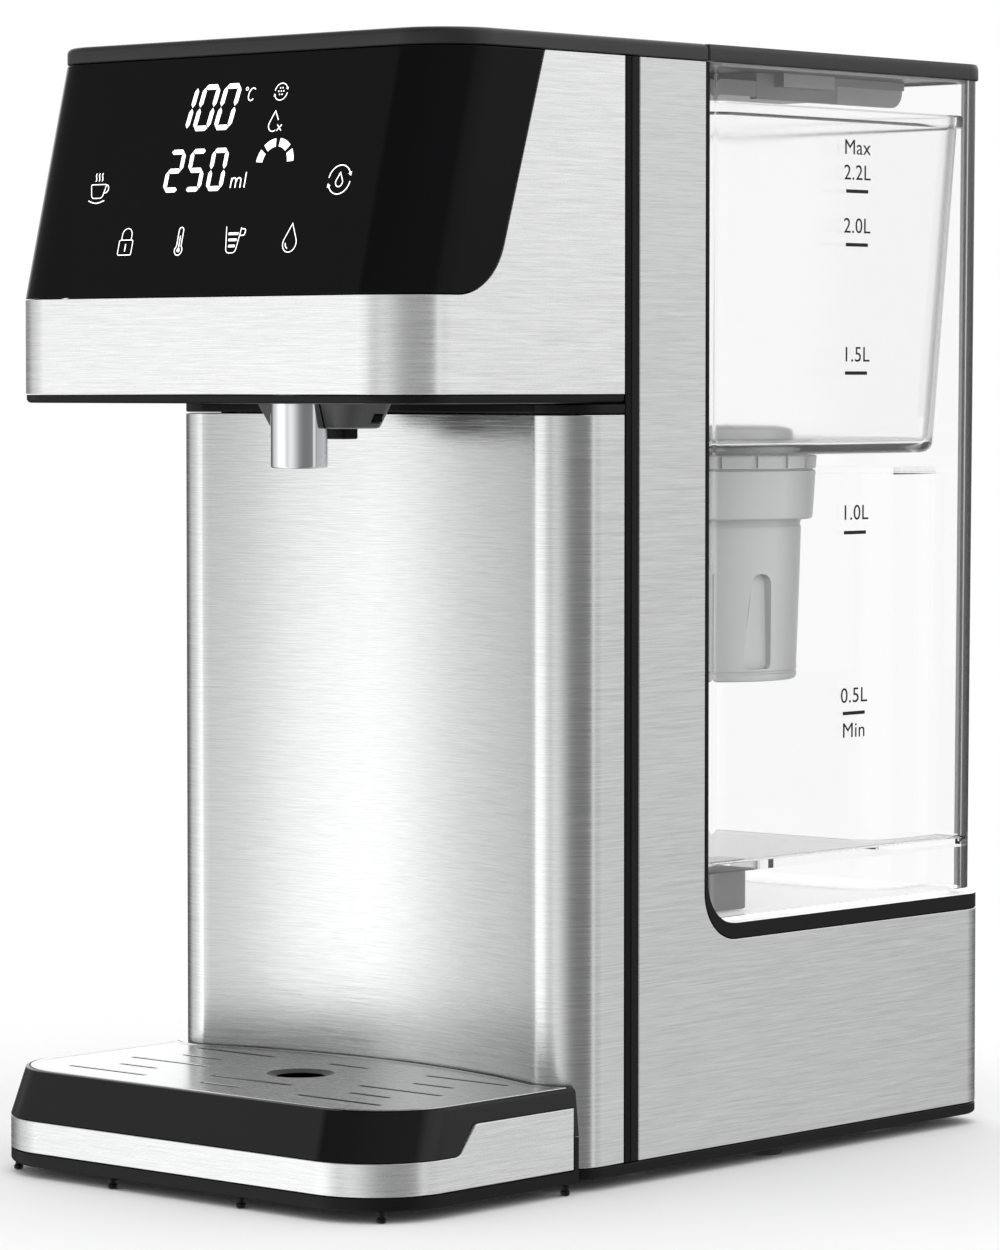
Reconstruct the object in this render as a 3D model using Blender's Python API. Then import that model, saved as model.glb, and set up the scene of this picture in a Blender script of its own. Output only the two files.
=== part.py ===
"""Countertop instant hot-water dispenser with a lift-off rear tank and a pull-out drip tray.

Metres, +Z up. X = 0 is the mid-plane, Z = 0 the surface it stands on, and the front faces -Y.
The depth runs from Y = -0.1325 at the drip tray to Y = +0.1325 at the rear skin.
"""

from math import atan2, cos, pi, radians, sin, sqrt, tan

import bmesh
import bpy
from mathutils import Matrix, Vector

# Overall sizes
HALF_WIDTH = 0.0772
REAR_Y = 0.1325
TRAY_FRONT_Y = -0.1325
COVER_TOP_Z = 0.3120
COVER_BOTTOM_Z = 0.3074
GAP = 0.0003
STEEL = 0.0010

# Heights
FOOT_HEIGHT = 0.0028
BASE_BOTTOM_Z = FOOT_HEIGHT + GAP
BASE_TOP_Z = 0.0063
SKIN_BOTTOM_Z = BASE_TOP_Z + GAP
SKIN_TOP_Z = COVER_BOTTOM_Z - GAP
COLUMN_TOP_Z = 0.2106
UNDERSIDE_BOTTOM_Z = 0.2134
BAND_BOTTOM_Z = 0.2156
GLASS_BOTTOM_Z = 0.2420
SHELF_BOTTOM_Z = 0.0643
SHELF_TOP_Z = 0.0685
TANK_BOTTOM_Z = 0.0702
TANK_FLOOR_Z = 0.0824

# Depths along Y
HEAD_FRONT_Y = -0.1223
HEAD_TOP_FRONT_Y = -0.1060
STRIP_FRONT_Y = -0.0351
STRIP_REAR_Y = -0.0295
SPLIT_Y = 0.0
SKIN_REAR_EDGE_Y = -0.0010
TANK_FRONT_Y = 0.0016
TANK_REAR_Y = 0.1300
TRAY_REAR_Y = -0.0542

# Column front: a shallow hollow between two round corners
HOLLOW_MIDDLE_Y = -0.0455
HOLLOW_RADIUS = 0.1843
COLUMN_CORNER = 0.0127
COLUMN_CORNER_Y = -0.0440

# Radii in plan
HEAD_CORNER = 0.0180
REAR_CORNER = 0.0120
TANK_CORNER = 0.0100
TRAY_CORNER = 0.0240
CRADLE_CORNER = 0.0120
NOTCH_CORNER = 0.0140
GLASS_WING_CORNER = 0.0190

# Drip tray
TRAY_CORNER_STEPS = 6
TRAY_HOLLOW_X = 0.0632
TRAY_BEND = (0.0700, -0.0568)
TRAY_BOTTOM_Z = 0.0030
TRAY_BAND_BOTTOM_Z = 0.0070
TRAY_BAND_TOP_Z = 0.0158
TRAY_SIDE_BAND_TOP_Z = 0.0238
TRAY_TOP_Z = 0.0291
TRAY_STEP_Y = -0.0985
PLATE_TOP_Z = 0.0293
PLATE_THICKNESS = 0.0012
BASIN_FLOOR_Z = 0.0048
BASIN_WALL_INSET = 0.0014
BAND_END_Y = TRAY_REAR_Y - 0.0020

# Tank, hopper and lid
TANK_SIDE = HALF_WIDTH - 0.0004
TANK_FOOT_SIDE = TANK_SIDE - 0.0010
TANK_WALL = 0.0022
TANK_FLOOR_THICKNESS = 0.0024
RECESS_TOP_Z = 0.1920
HOPPER_WALL = 0.0018
HOPPER_RIM_Z = 0.2935
COLLAR_BOTTOM_Z = 0.1795
COLLAR_TOP_Z = 0.1980
LID_SKIRT_BOTTOM_Z = 0.3058
HOSE_RADIUS = 0.0035

# Nozzle, filter, valve and pump axes
NOZZLE_Y = -0.0822
NOZZLE_RADIUS = 0.0079
NOZZLE_BOTTOM_Z = 0.1955
FILTER_X = 0.0260
FILTER_Y = 0.0616
VALVE_X = 0.0450
VALVE_Y = 0.0180
PUMP_X = 0.0200
PUMP_Z = 0.0360
METER_X = -0.0350
METER_Y = 0.0500
METER_Z = 0.0360
HEATER_X = -0.0380
HEATER_Y = -0.0172
HANDLE_PIVOT_Y = 0.0660
HANDLE_PIVOT_Z = 0.3080

STEEL_LOOK = ((0.62, 0.62, 0.63), 0.32, 1.0)
BLACK = ((0.012, 0.012, 0.013), 0.35, 0.0)
GLOSS_BLACK = ((0.008, 0.008, 0.009), 0.06, 0.0)
RUBBER = ((0.02, 0.02, 0.02), 0.8, 0.0)
CLEAR = ((0.90, 0.93, 0.95), 0.04, 0.0)
WHITE = ((0.80, 0.80, 0.80), 0.4, 0.0)
GREY = ((0.45, 0.46, 0.47), 0.4, 0.0)
CHROME = ((0.85, 0.85, 0.86), 0.06, 1.0)
ALUMINIUM = ((0.65, 0.66, 0.68), 0.35, 1.0)
SILICONE = ((0.75, 0.76, 0.76), 0.5, 0.0)
BOARD_GREEN = ((0.02, 0.13, 0.06), 0.5, 0.0)

PIVOTS = {
    "main": (0.0, 0.0, 0.0),
    "tank": (0.0, 0.065, TANK_BOTTOM_Z),
    "plunger": (VALVE_X, VALVE_Y, TANK_BOTTOM_Z),
    "lid": (0.0, 0.065, COVER_BOTTOM_Z),
    "handle": (0.0, HANDLE_PIVOT_Y, HANDLE_PIVOT_Z),
    "tray": (0.0, -0.095, 0.0),
    "plate": (0.0, -0.095, PLATE_TOP_Z),
    "pump_rotor": (PUMP_X, 0.050, PUMP_Z),
    "meter_rotor": (METER_X, METER_Y, METER_Z),
}
bodies = {}


# Outlines in the XY plane


def arc(centre_x, centre_y, radius, start, end, steps):
    """Points on a circle from one angle to another, in radians, both ends included."""
    angles = [start + (end - start) * i / steps for i in range(steps + 1)]
    return [(centre_x + radius * cos(a), centre_y + radius * sin(a)) for a in angles]


def rounded(corners, steps=4):
    """A closed outline through (x, y, radius) corners, each rounded by its radius."""
    outline = []
    for index, (x, y, radius) in enumerate(corners):
        here = Vector((x, y))
        if radius == 0:
            outline.append((x, y))
            continue
        to_last = (Vector(corners[index - 1][:2]) - here).normalized()
        to_next = (Vector(corners[(index + 1) % len(corners)][:2]) - here).normalized()
        half = to_last.angle(to_next) / 2
        centre = here + (to_last + to_next).normalized() * radius / sin(half)
        first = here + to_last * radius / tan(half) - centre
        last = here + to_next * radius / tan(half) - centre
        start = atan2(first.y, first.x)
        turn = (atan2(last.y, last.x) - start + pi) % (2 * pi) - pi
        outline += arc(centre.x, centre.y, radius, start, start + turn, steps)
    return outline


def box_outline(x0, x1, y0, y1, radius=0.0, steps=4):
    return rounded([(x0, y0, radius), (x1, y0, radius), (x1, y1, radius), (x0, y1, radius)], steps)


def signed_area(outline):
    following = outline[1:] + outline[:1]
    return sum(a[0] * b[1] - b[0] * a[1] for a, b in zip(outline, following)) / 2


def inset(outline, distance):
    """The closed outline moved inwards by a distance, corner by corner."""
    side = 1 if signed_area(outline) > 0 else -1
    moved = []
    for index, point in enumerate(outline):
        here = Vector(point)
        before = (here - Vector(outline[index - 1])).normalized()
        after = (Vector(outline[(index + 1) % len(outline)]) - here).normalized()
        first = Vector((-before.y, before.x)) * side
        second = Vector((-after.y, after.x)) * side
        shift = (first + second) / (1 + first.dot(second))
        moved.append(tuple(here + shift * distance))
    return moved


def wall(path, thickness):
    """The closed outline of a wall whose outer face runs along an open path, left to right of travel."""
    inner = []
    for index, point in enumerate(path):
        here = Vector(point)
        before = here - Vector(path[index - 1]) if index else Vector(path[1]) - here
        after = Vector(path[index + 1]) - here if index < len(path) - 1 else before
        before.normalize()
        after.normalize()
        first = Vector((-before.y, before.x))
        second = Vector((-after.y, after.x))
        inner.append(tuple(here + (first + second) / (1 + first.dot(second)) * thickness))
    return list(path) + inner[::-1]


def circle(radius, segments, centre=(0.0, 0.0)):
    return arc(*centre, radius, 0, 2 * pi, segments)[:-1]


def column_path(end_y=STRIP_FRONT_Y - GAP):
    """The column's outside from the left strip round the hollow front to the right strip."""
    corner_x = HALF_WIDTH - COLUMN_CORNER
    hollow = Vector((0.0, HOLLOW_MIDDLE_Y - HOLLOW_RADIUS))
    corner = Vector((corner_x, COLUMN_CORNER_Y))
    between = corner - hollow
    along = (HOLLOW_RADIUS**2 - COLUMN_CORNER**2 + between.length_squared) / (2 * between.length)
    across = sqrt(HOLLOW_RADIUS**2 - along**2)
    unit = between.normalized()
    crease = hollow + unit * along + Vector((unit.y, -unit.x)) * across
    crease_angle = atan2(crease.y - corner.y, crease.x - corner.x)
    hollow_angle = atan2(crease.y - hollow.y, crease.x - hollow.x)
    left = arc(-corner_x, COLUMN_CORNER_Y, COLUMN_CORNER, -pi, -pi - crease_angle, 5)
    middle = arc(*hollow, HOLLOW_RADIUS, pi - hollow_angle, hollow_angle, 12)
    right = [(-x, y) for x, y in reversed(left)]
    return [(-HALF_WIDTH, end_y), *left, *middle[1:-1], *right, (HALF_WIDTH, end_y)]


def head_path(front_y, end_y=STRIP_FRONT_Y - GAP):
    """The head's outside from the left strip round the front to the right strip."""
    centre_x = HALF_WIDTH - HEAD_CORNER
    centre_y = front_y + HEAD_CORNER
    left = arc(-centre_x, centre_y, HEAD_CORNER, -pi, -pi / 2, 6)
    right = arc(centre_x, centre_y, HEAD_CORNER, -pi / 2, 0, 6)
    return [(-HALF_WIDTH, end_y), *left, *right, (HALF_WIDTH, end_y)]


def rear_path(end_y=STRIP_REAR_Y + GAP):
    """The rear skin's outside from the right strip round the back to the left strip."""
    centre_x = HALF_WIDTH - REAR_CORNER
    centre_y = REAR_Y - REAR_CORNER
    right = arc(centre_x, centre_y, REAR_CORNER, 0, pi / 2, 5)
    left = arc(-centre_x, centre_y, REAR_CORNER, pi / 2, pi, 5)
    return [(HALF_WIDTH, end_y), *right, *left, (-HALF_WIDTH, end_y)]


def tray_outline(front_y, half_width):
    """The drip tray in plan: round front corners and a rear edge that follows the column."""
    centre_x = half_width - TRAY_CORNER
    centre_y = front_y + TRAY_CORNER
    left = arc(-centre_x, centre_y, TRAY_CORNER, -pi, -pi / 2, TRAY_CORNER_STEPS)
    right = arc(centre_x, centre_y, TRAY_CORNER, -pi / 2, 0, TRAY_CORNER_STEPS)
    reach = HOLLOW_RADIUS - 2 * GAP
    crease = atan2(sqrt(reach**2 - TRAY_HOLLOW_X**2), TRAY_HOLLOW_X)
    rear = arc(0.0, HOLLOW_MIDDLE_Y - HOLLOW_RADIUS, reach, crease, pi - crease, 10)
    bend_x, bend_y = TRAY_BEND
    right_end = [(half_width, TRAY_REAR_Y), (bend_x, bend_y)]
    left_end = [(-bend_x, bend_y), (-half_width, TRAY_REAR_Y)]
    return [*left, *right, *right_end, *rear, *left_end]


# Solids


def loft(rings, cycle=False):
    """Skins rings of equally many points, with capped ends or, for a cycle, joined end to start."""
    mesh = bmesh.new()
    loops = [[mesh.verts.new(point) for point in ring] for ring in rings]
    pairs = list(zip(loops, loops[1:]))
    if cycle:
        pairs.append((loops[-1], loops[0]))
    else:
        mesh.faces.new(loops[0])
        mesh.faces.new(loops[-1])
    for low, high in pairs:
        for i in range(len(low)):
            j = (i + 1) % len(low)
            mesh.faces.new((low[i], low[j], high[j], high[i]))
    bmesh.ops.recalc_face_normals(mesh, faces=mesh.faces)
    return mesh


def levels(*steps):
    """Rings from (z, outline) pairs."""
    return [[(x, y, z) for x, y in outline] for z, outline in steps]


def prism(outline, z0, z1):
    return loft(levels((z0, outline), (z1, outline)))


def box(x0, x1, y0, y1, z0, z1, radius=0.0):
    return prism(box_outline(x0, x1, y0, y1, radius), z0, z1)


def prism_along_x(outline, x0, x1):
    """A prism whose outline is in the YZ plane."""
    return loft([[(x, y, z) for y, z in outline] for x in (x0, x1)])


def turned(profile, centre, axis="Z", segments=16, hollow=False):
    """A turned solid from (radius, height) points; a hollow one has its profile closed."""
    rings = [[(x, y, height) for x, y in circle(radius, segments)] for radius, height in profile]
    mesh = loft(rings, cycle=hollow)
    turn = {"Z": Matrix(), "Y": Matrix.Rotation(-pi / 2, 4, "X"), "X": Matrix.Rotation(pi / 2, 4, "Y")}
    mesh.transform(Matrix.Translation(centre) @ turn[axis])
    return mesh


def finish_material(name, look):
    colour, roughness, metallic = look
    material = bpy.data.materials.new(name + "_finish")
    material.use_nodes = True
    shader = material.node_tree.nodes["Principled BSDF"]
    shader.inputs["Base Color"].default_value = (*colour, 1.0)
    shader.inputs["Roughness"].default_value = roughness
    shader.inputs["Metallic"].default_value = metallic
    if look is CLEAR:
        shader.inputs["Transmission Weight"].default_value = 1.0
    material.diffuse_color = (*colour, 1.0)
    return material


def add(name, solid, look, body="main", smooth=True):
    """Makes a named object of a bmesh, with its origin on its body's pivot."""
    mesh = bpy.data.meshes.new(name)
    solid.transform(Matrix.Translation(-Vector(PIVOTS[body])))
    solid.to_mesh(mesh)
    solid.free()
    mesh.materials.append(finish_material(name, look))
    if smooth:
        mesh.shade_smooth()
        mesh.set_sharp_from_angle(angle=radians(35))
    obj = bpy.data.objects.new(name, mesh)
    bpy.context.collection.objects.link(obj)
    obj.parent = bodies[body]
    return obj


def tool(name, solid):
    """A hidden helper for a Boolean."""
    mesh = bpy.data.meshes.new(name)
    solid.to_mesh(mesh)
    solid.free()
    obj = bpy.data.objects.new(name, mesh)
    bpy.context.collection.objects.link(obj)
    obj.hide_render = True
    obj.display_type = "WIRE"
    return obj


def combine(obj, other, operation):
    modifier = obj.modifiers.new(operation.title(), "BOOLEAN")
    modifier.operation = operation
    modifier.solver = "EXACT"
    modifier.object = other


def cut(obj, name, solid):
    helper = tool(name, solid)
    combine(obj, helper, "DIFFERENCE")
    return helper


def join(obj, name, solid):
    helper = tool(name, solid)
    combine(obj, helper, "UNION")
    return helper


def smooth_route(points, per_span=3):
    """Points along a Catmull-Rom curve through the route's own points."""
    ends = [points[0], *points, points[-1]]
    route = []
    for a, b, c, d in zip(ends, ends[1:], ends[2:], ends[3:]):
        a, b, c, d = (Vector(p) for p in (a, b, c, d))
        for i in range(per_span):
            t = i / per_span
            bend = (2 * a - 5 * b + 4 * c - d) * t**2 + (3 * b - a - 3 * c + d) * t**3
            route.append(0.5 * (2 * b + (c - a) * t + bend))
    return [*route, Vector(points[-1])]


def hose(name, points, radius, look):
    curve = bpy.data.curves.new(name, "CURVE")
    curve.dimensions = "3D"
    curve.bevel_depth = radius
    curve.bevel_resolution = 2
    curve.use_fill_caps = True
    route = smooth_route(points)
    spline = curve.splines.new("POLY")
    spline.points.add(len(route) - 1)
    for place, point in zip(spline.points, route):
        place.co = (*point, 1.0)
    curve.materials.append(finish_material(name, look))
    obj = bpy.data.objects.new(name, curve)
    bpy.context.collection.objects.link(obj)
    obj.parent = bodies["main"]
    return obj


# Base, skins and trims


def footprint(distance=0.0):
    """The dispenser's whole outline in plan, moved inwards by a distance."""
    front = column_path(end_y=STRIP_FRONT_Y)[1:-1]
    rear = rear_path()[1:-1]
    return inset([*front, *rear], distance)


def make_base():
    plate = add(
        "base_plate",
        loft(
            levels(
                (BASE_BOTTOM_Z, footprint(0.0006)),
                (BASE_BOTTOM_Z + 0.0006, footprint()),
                (BASE_TOP_Z, footprint()),
                (BASE_TOP_Z, footprint(0.0034)),
                (0.0100, footprint(0.0034)),
            )
        ),
        BLACK,
    )
    for index, (x, y) in enumerate([(-0.060, -0.018), (0.060, -0.018), (-0.060, 0.095), (0.060, 0.095)]):
        hole = [(0.0036, 0.0), (0.0036, 0.0056), (0.0018, 0.0056), (0.0018, 0.0200)]
        cut(plate, f"screw_hole_{index}", turned(hole, (x, y, 0.0), segments=12))
        screw = [(0.0030, 0.0036), (0.0033, 0.0042), (0.0033, 0.0053), (0.0014, 0.0053), (0.0014, 0.0170)]
        add(f"base_screw_{index + 1}", turned(screw, (x, y, 0.0), segments=12), ALUMINIUM)
    feet = {
        "front_left": (-0.045, -0.030),
        "front_right": (0.045, -0.030),
        "middle_left": (-0.0665, 0.038),
        "middle_right": (0.0665, 0.038),
        "rear_left": (-0.045, 0.115),
        "rear_right": (0.045, 0.115),
    }
    pad = [(0.0050, 0.0), (0.0056, 0.0006), (0.0060, FOOT_HEIGHT)]
    for place, (x, y) in feet.items():
        add(f"base_foot_{place}", turned(pad, (x, y, 0.0), segments=14), RUBBER)


def make_skins():
    add("column_skin", prism(wall(column_path(), STEEL), SKIN_BOTTOM_Z, COLUMN_TOP_Z - GAP), STEEL_LOOK)
    add("column_cap", prism(column_path(), COLUMN_TOP_Z, UNDERSIDE_BOTTOM_Z - GAP), BLACK)
    rear = add("rear_skin", prism(wall(rear_path(), STEEL), SKIN_BOTTOM_Z, SKIN_TOP_Z), STEEL_LOOK)
    notch = rounded(
        [
            (SKIN_REAR_EDGE_Y, SHELF_BOTTOM_Z - GAP, NOTCH_CORNER),
            (0.20, SHELF_BOTTOM_Z - GAP, 0),
            (0.20, 0.40, 0),
            (SKIN_REAR_EDGE_Y, 0.40, 0),
        ],
        steps=6,
    )
    cut(rear, "tank_notch", prism_along_x(notch, -0.10, 0.10))
    cut(rear, "gland_hole", turned([(0.0072, -0.01), (0.0072, 0.01)], (-0.050, REAR_Y, 0.024), "Y", 16))
    for name, side in (("side_trim_left", -1), ("side_trim_right", 1)):
        section = [
            (HALF_WIDTH, STRIP_FRONT_Y),
            (HALF_WIDTH, STRIP_REAR_Y),
            (HALF_WIDTH - 0.0014, STRIP_REAR_Y),
            (HALF_WIDTH - 0.0014, STRIP_REAR_Y + 0.0030),
            (HALF_WIDTH - 0.0030, STRIP_REAR_Y + 0.0030),
            (HALF_WIDTH - 0.0030, STRIP_FRONT_Y),
        ]
        outline = [(side * x, y) for x, y in section]
        add(name, prism(outline, SKIN_BOTTOM_Z, SKIN_TOP_Z), BLACK)


def head_shell():
    """The wall that the steel band and the black glass share, leaning back above the band."""
    low = wall(head_path(HEAD_FRONT_Y), 0.0016)
    high = wall(head_path(HEAD_TOP_FRONT_Y), 0.0016)
    return loft(levels((BAND_BOTTOM_Z + GAP, low), (GLASS_BOTTOM_Z, low), (SKIN_TOP_Z, high)))


def glass_region(edge_gap):
    """Side view of the glass: the front face and the rounded wing on each side."""
    lean = (0.0849 - 0.0682) / (COVER_BOTTOM_Z - 0.2540)
    foot_y = -0.0849 - (0.2540 - GLASS_BOTTOM_Z) * lean - edge_gap
    foot_z = GLASS_BOTTOM_Z + edge_gap
    top_y = foot_y + (0.40 - foot_z) * lean
    return rounded(
        [(-0.20, foot_z, 0), (foot_y, foot_z, GLASS_WING_CORNER), (top_y, 0.40, 0), (-0.20, 0.40, 0)], 6
    )


def make_head():
    steel = add("head_skin", head_shell(), STEEL_LOOK)
    cut(steel, "glass_opening", prism_along_x(glass_region(-GAP / 2), -0.10, 0.10))
    glass = add("control_glass", head_shell(), GLOSS_BLACK)
    region = tool("glass_shape", prism_along_x(glass_region(GAP / 2), -0.10, 0.10))
    combine(glass, region, "INTERSECT")
    full = head_path(HEAD_TOP_FRONT_Y, SPLIT_Y - GAP)
    cover = add(
        "top_cover",
        loft(
            levels(
                (COVER_BOTTOM_Z - 0.0030, inset(full, 0.0040)),
                (COVER_BOTTOM_Z, inset(full, 0.0040)),
                (COVER_BOTTOM_Z, full),
                (COVER_TOP_Z - 0.0012, full),
                (COVER_TOP_Z - 0.0003, inset(full, 0.0004)),
                (COVER_TOP_Z, inset(full, 0.0013)),
            )
        ),
        BLACK,
    )
    cut(cover, "cover_room", prism(inset(full, 0.0056), 0.29, COVER_TOP_Z - 0.0022))
    outline = head_path(HEAD_FRONT_Y)
    under = add(
        "head_underside",
        loft(
            levels(
                (UNDERSIDE_BOTTOM_Z, inset(outline, 0.0010)),
                (UNDERSIDE_BOTTOM_Z + 0.0006, inset(outline, 0.0002)),
                (BAND_BOTTOM_Z, inset(outline, 0.0002)),
            )
        ),
        BLACK,
    )
    cut(under, "nozzle_hole", turned([(0.0086, 0.20), (0.0086, 0.23)], (0, NOZZLE_Y, 0)))
    cut(under, "cable_window", box(-0.030, 0.030, -0.043, -0.037, 0.20, 0.23))


# Spout


def make_spout():
    inner = NOZZLE_RADIUS - 0.0014
    bore = [
        (NOZZLE_RADIUS - 0.0005, NOZZLE_BOTTOM_Z),
        (NOZZLE_RADIUS, NOZZLE_BOTTOM_Z + 0.0006),
        (NOZZLE_RADIUS, 0.2220),
        (inner, 0.2220),
        (inner, NOZZLE_BOTTOM_Z),
    ]
    add("nozzle", turned(bore, (0, NOZZLE_Y, 0), segments=28, hollow=True), CHROME)
    shroud_low = box_outline(-0.0160, 0.0160, -0.0805, -0.0635, 0.0050)
    shroud_high = box_outline(-0.0190, 0.0190, -0.0825, -0.0620, 0.0060)
    top = UNDERSIDE_BOTTOM_Z - GAP
    shroud = add(
        "nozzle_shroud",
        loft(levels((0.2064, inset(shroud_low, 0.0008)), (0.2070, shroud_low), (top, shroud_high))),
        GREY,
    )
    bore = [(NOZZLE_RADIUS + GAP, 0.19), (NOZZLE_RADIUS + GAP, 0.23)]
    cut(shroud, "shroud_bore", turned(bore, (0, NOZZLE_Y, 0), segments=28))
    cut(shroud, "sensor_pocket", box(-0.0046, 0.0046, -0.0693, -0.0627, 0.20, 0.2100))
    cut(shroud, "window_pocket", box(0.0150, 0.0250, -0.0710, -0.0670, 0.2078, 0.2105))
    add("nozzle_sensor", box(-0.0043, 0.0043, -0.0690, -0.0630, 0.2034, 0.2097, 0.0008), BLACK)
    add("sensor_window", box(0.0153, 0.0172, -0.0707, -0.0673, 0.2081, 0.2102), GLOSS_BLACK)
    chamber = [(0.0085, 0.2162), (0.0140, 0.2162), (0.0140, 0.2380), (0.0120, 0.2400)]
    chamber += [(0.0010, 0.2400), (0.0010, 0.2380), (0.0085, 0.2360)]
    outlet = add("outlet_chamber", turned(chamber, (0, NOZZLE_Y, 0), segments=20, hollow=True), WHITE)
    join(outlet, "outlet_port", turned([(0.0030, 0.0130), (0.0030, 0.0200)], (0, NOZZLE_Y, 0.2300), "Y", 12))


# Works


def make_frame():
    panel = add("column_frame", box(-0.0738, 0.0738, -0.0330, -0.0310, 0.0103, 0.3040), GREY, smooth=False)
    cut(panel, "hose_window", box(-0.050, 0.050, -0.04, -0.02, 0.2220, 0.2920))
    cut(panel, "base_window", box(-0.050, 0.050, -0.04, -0.02, 0.0200, 0.0620))


def cradle_profile(front_y, lip_radius):
    """Side view of the wall in front of the tank and the shelf under it."""
    back_y = SKIN_REAR_EDGE_Y + 0.0015
    return rounded(
        [
            (front_y, SHELF_BOTTOM_Z, 0.0137),
            (0.20, SHELF_BOTTOM_Z, 0),
            (0.20, SHELF_TOP_Z, 0),
            (back_y, SHELF_TOP_Z, lip_radius),
            (back_y, SKIN_TOP_Z, 0),
            (front_y, SKIN_TOP_Z, 0),
        ],
        steps=6,
    )


def make_cradle():
    profile = cradle_profile(SKIN_REAR_EDGE_Y + GAP, CRADLE_CORNER)
    cradle = add("tank_cradle", prism_along_x(profile, -0.08, 0.08), BLACK)
    combine(cradle, tool("cradle_footprint", prism(rear_path(-0.02), 0.0, 0.40)), "INTERSECT")
    join(cradle, "cradle_core", box(-0.0755, 0.0755, -0.0030, 0.0003, 0.0660, 0.3038))
    join(cradle, "tank_rest", box(-0.0715, 0.0715, 0.0060, 0.1240, 0.0670, TANK_BOTTOM_Z - GAP, 0.0080))
    cut(cradle, "socket_hole", turned([(0.0106, 0.05), (0.0106, 0.09)], (VALVE_X, VALVE_Y, 0), segments=20))
    socket = [(0.0060, 0.0480), (0.0100, 0.0500), (0.0100, 0.0600), (0.0130, 0.0600), (0.0130, 0.0638)]
    socket += [(0.0103, 0.0638), (0.0103, 0.0678), (0.0058, 0.0678), (0.0058, 0.0540), (0.0018, 0.0520)]
    socket += [(0.0018, 0.0405), (0.0030, 0.0400), (0.0030, 0.0480)]
    add("tank_socket", turned(socket, (VALVE_X, VALVE_Y, 0), segments=20, hollow=True), GREY)
    seal = [(0.0060, 0.0681), (0.0098, 0.0681), (0.0092, 0.0699), (0.0066, 0.0699)]
    add("socket_seal", turned(seal, (VALVE_X, VALVE_Y, 0), segments=20, hollow=True), SILICONE)
    gland = [(0.0069, -0.0040), (0.0069, 0.0), (0.0035, 0.0), (0.0035, -0.0150), (0.0060, -0.0150)]
    gland += [(0.0060, -0.0065), (0.0095, -0.0065), (0.0095, -0.0040)]
    add("cord_gland", turned(gland, (-0.050, REAR_Y - 0.0002, 0.024), "Y", 20, hollow=True), BLACK)


def make_pump():
    head = [(0.0020, -0.0160), (0.0030, -0.0155), (0.0030, -0.0080), (0.0150, -0.0080), (0.0150, 0.0060)]
    head += [(0.0125, 0.0060), (0.0125, -0.0060), (0.0020, -0.0060)]
    centre = (PUMP_X, 0.050, PUMP_Z)
    pump = add("pump_head", turned(head, centre, "Y", 24, hollow=True), WHITE)
    outlet = turned([(0.0030, -0.0135), (0.0030, -0.0200)][::-1], centre, "X", 12)
    join(pump, "pump_outlet", outlet)
    cut(pump, "pump_outlet_bore", turned([(0.0018, -0.0300), (0.0018, -0.0100)], centre, "X", 12))
    motor = [(0.0140, 0.0063), (0.0140, 0.0380), (0.0060, 0.0390), (0.0060, 0.0420)]
    add("pump_motor", turned(motor, centre, "Y", 24), ALUMINIUM)
    make_rotor("pump_impeller", "pump_rotor", centre, 0.0105, 0.0045, 6, -0.0050, -0.0010, 0.0058, "Y")


def make_rotor(name, body, centre, tip, hub, vanes, low, high, shaft_end, axis):
    """A vaned rotor and its shaft: the hub widens to each vane in turn."""
    outline = []
    for index in range(vanes):
        middle = 2 * pi * index / vanes
        reach = 0.30 / vanes * pi
        outline += [(hub * cos(middle - reach * 2.2), hub * sin(middle - reach * 2.2))]
        outline += arc(0, 0, tip, middle - reach * 0.55, middle + reach * 0.55, 1)
        outline += [(hub * cos(middle + reach * 2.2), hub * sin(middle + reach * 2.2))]
    shaft = circle(0.0010, len(outline))
    start = atan2(outline[0][1], outline[0][0])
    shaft = [(x * cos(start) - y * sin(start), x * sin(start) + y * cos(start)) for x, y in shaft]
    mesh = loft(levels((low, outline), (high, outline), (high, shaft), (shaft_end, shaft)))
    turn = {"Z": Matrix(), "Y": Matrix.Rotation(-pi / 2, 4, "X")}
    mesh.transform(Matrix.Translation(centre) @ turn[axis])
    return add(name, mesh, WHITE, body)


def make_flow_meter():
    centre = (METER_X, METER_Y, METER_Z)
    body = [(0.0100, -0.0070), (0.0100, 0.0070), (0.0010, 0.0080), (0.0010, 0.0055), (0.0080, 0.0050)]
    body += [(0.0080, -0.0070)]
    meter = add("flow_meter_body", turned(body, centre, "Z", 20, hollow=True), WHITE)
    join(meter, "meter_inlet", turned([(0.0030, 0.0085), (0.0030, 0.0140)], centre, "X", 12))
    join(meter, "meter_outlet", turned([(0.0030, -0.0140), (0.0030, -0.0085)], centre, "Y", 12))
    make_rotor("flow_meter_rotor", "meter_rotor", centre, 0.0070, 0.0030, 6, -0.0045, 0.0025, 0.0040, "Z")


def make_heater():
    centre = (HEATER_X, HEATER_Y, 0)
    tube = [(0.0105, 0.0913), (0.0120, 0.0913), (0.0120, 0.1887), (0.0105, 0.1887)]
    add("heater_tube", turned(tube, centre, segments=24, hollow=True), ALUMINIUM)
    low_cap = [(0.0018, 0.0780), (0.0030, 0.0780), (0.0030, 0.0850), (0.0124, 0.0850), (0.0124, 0.0910)]
    low_cap += [(0.0018, 0.0910)]
    add("heater_cap_bottom", turned(low_cap, centre, segments=24, hollow=True), BLACK)
    high_cap = [(0.0018, 0.1890), (0.0124, 0.1890), (0.0124, 0.1950), (0.0030, 0.1950), (0.0030, 0.2050)]
    high_cap += [(0.0018, 0.2050)]
    add("heater_cap_top", turned(high_cap, centre, segments=24, hollow=True), BLACK)


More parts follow.
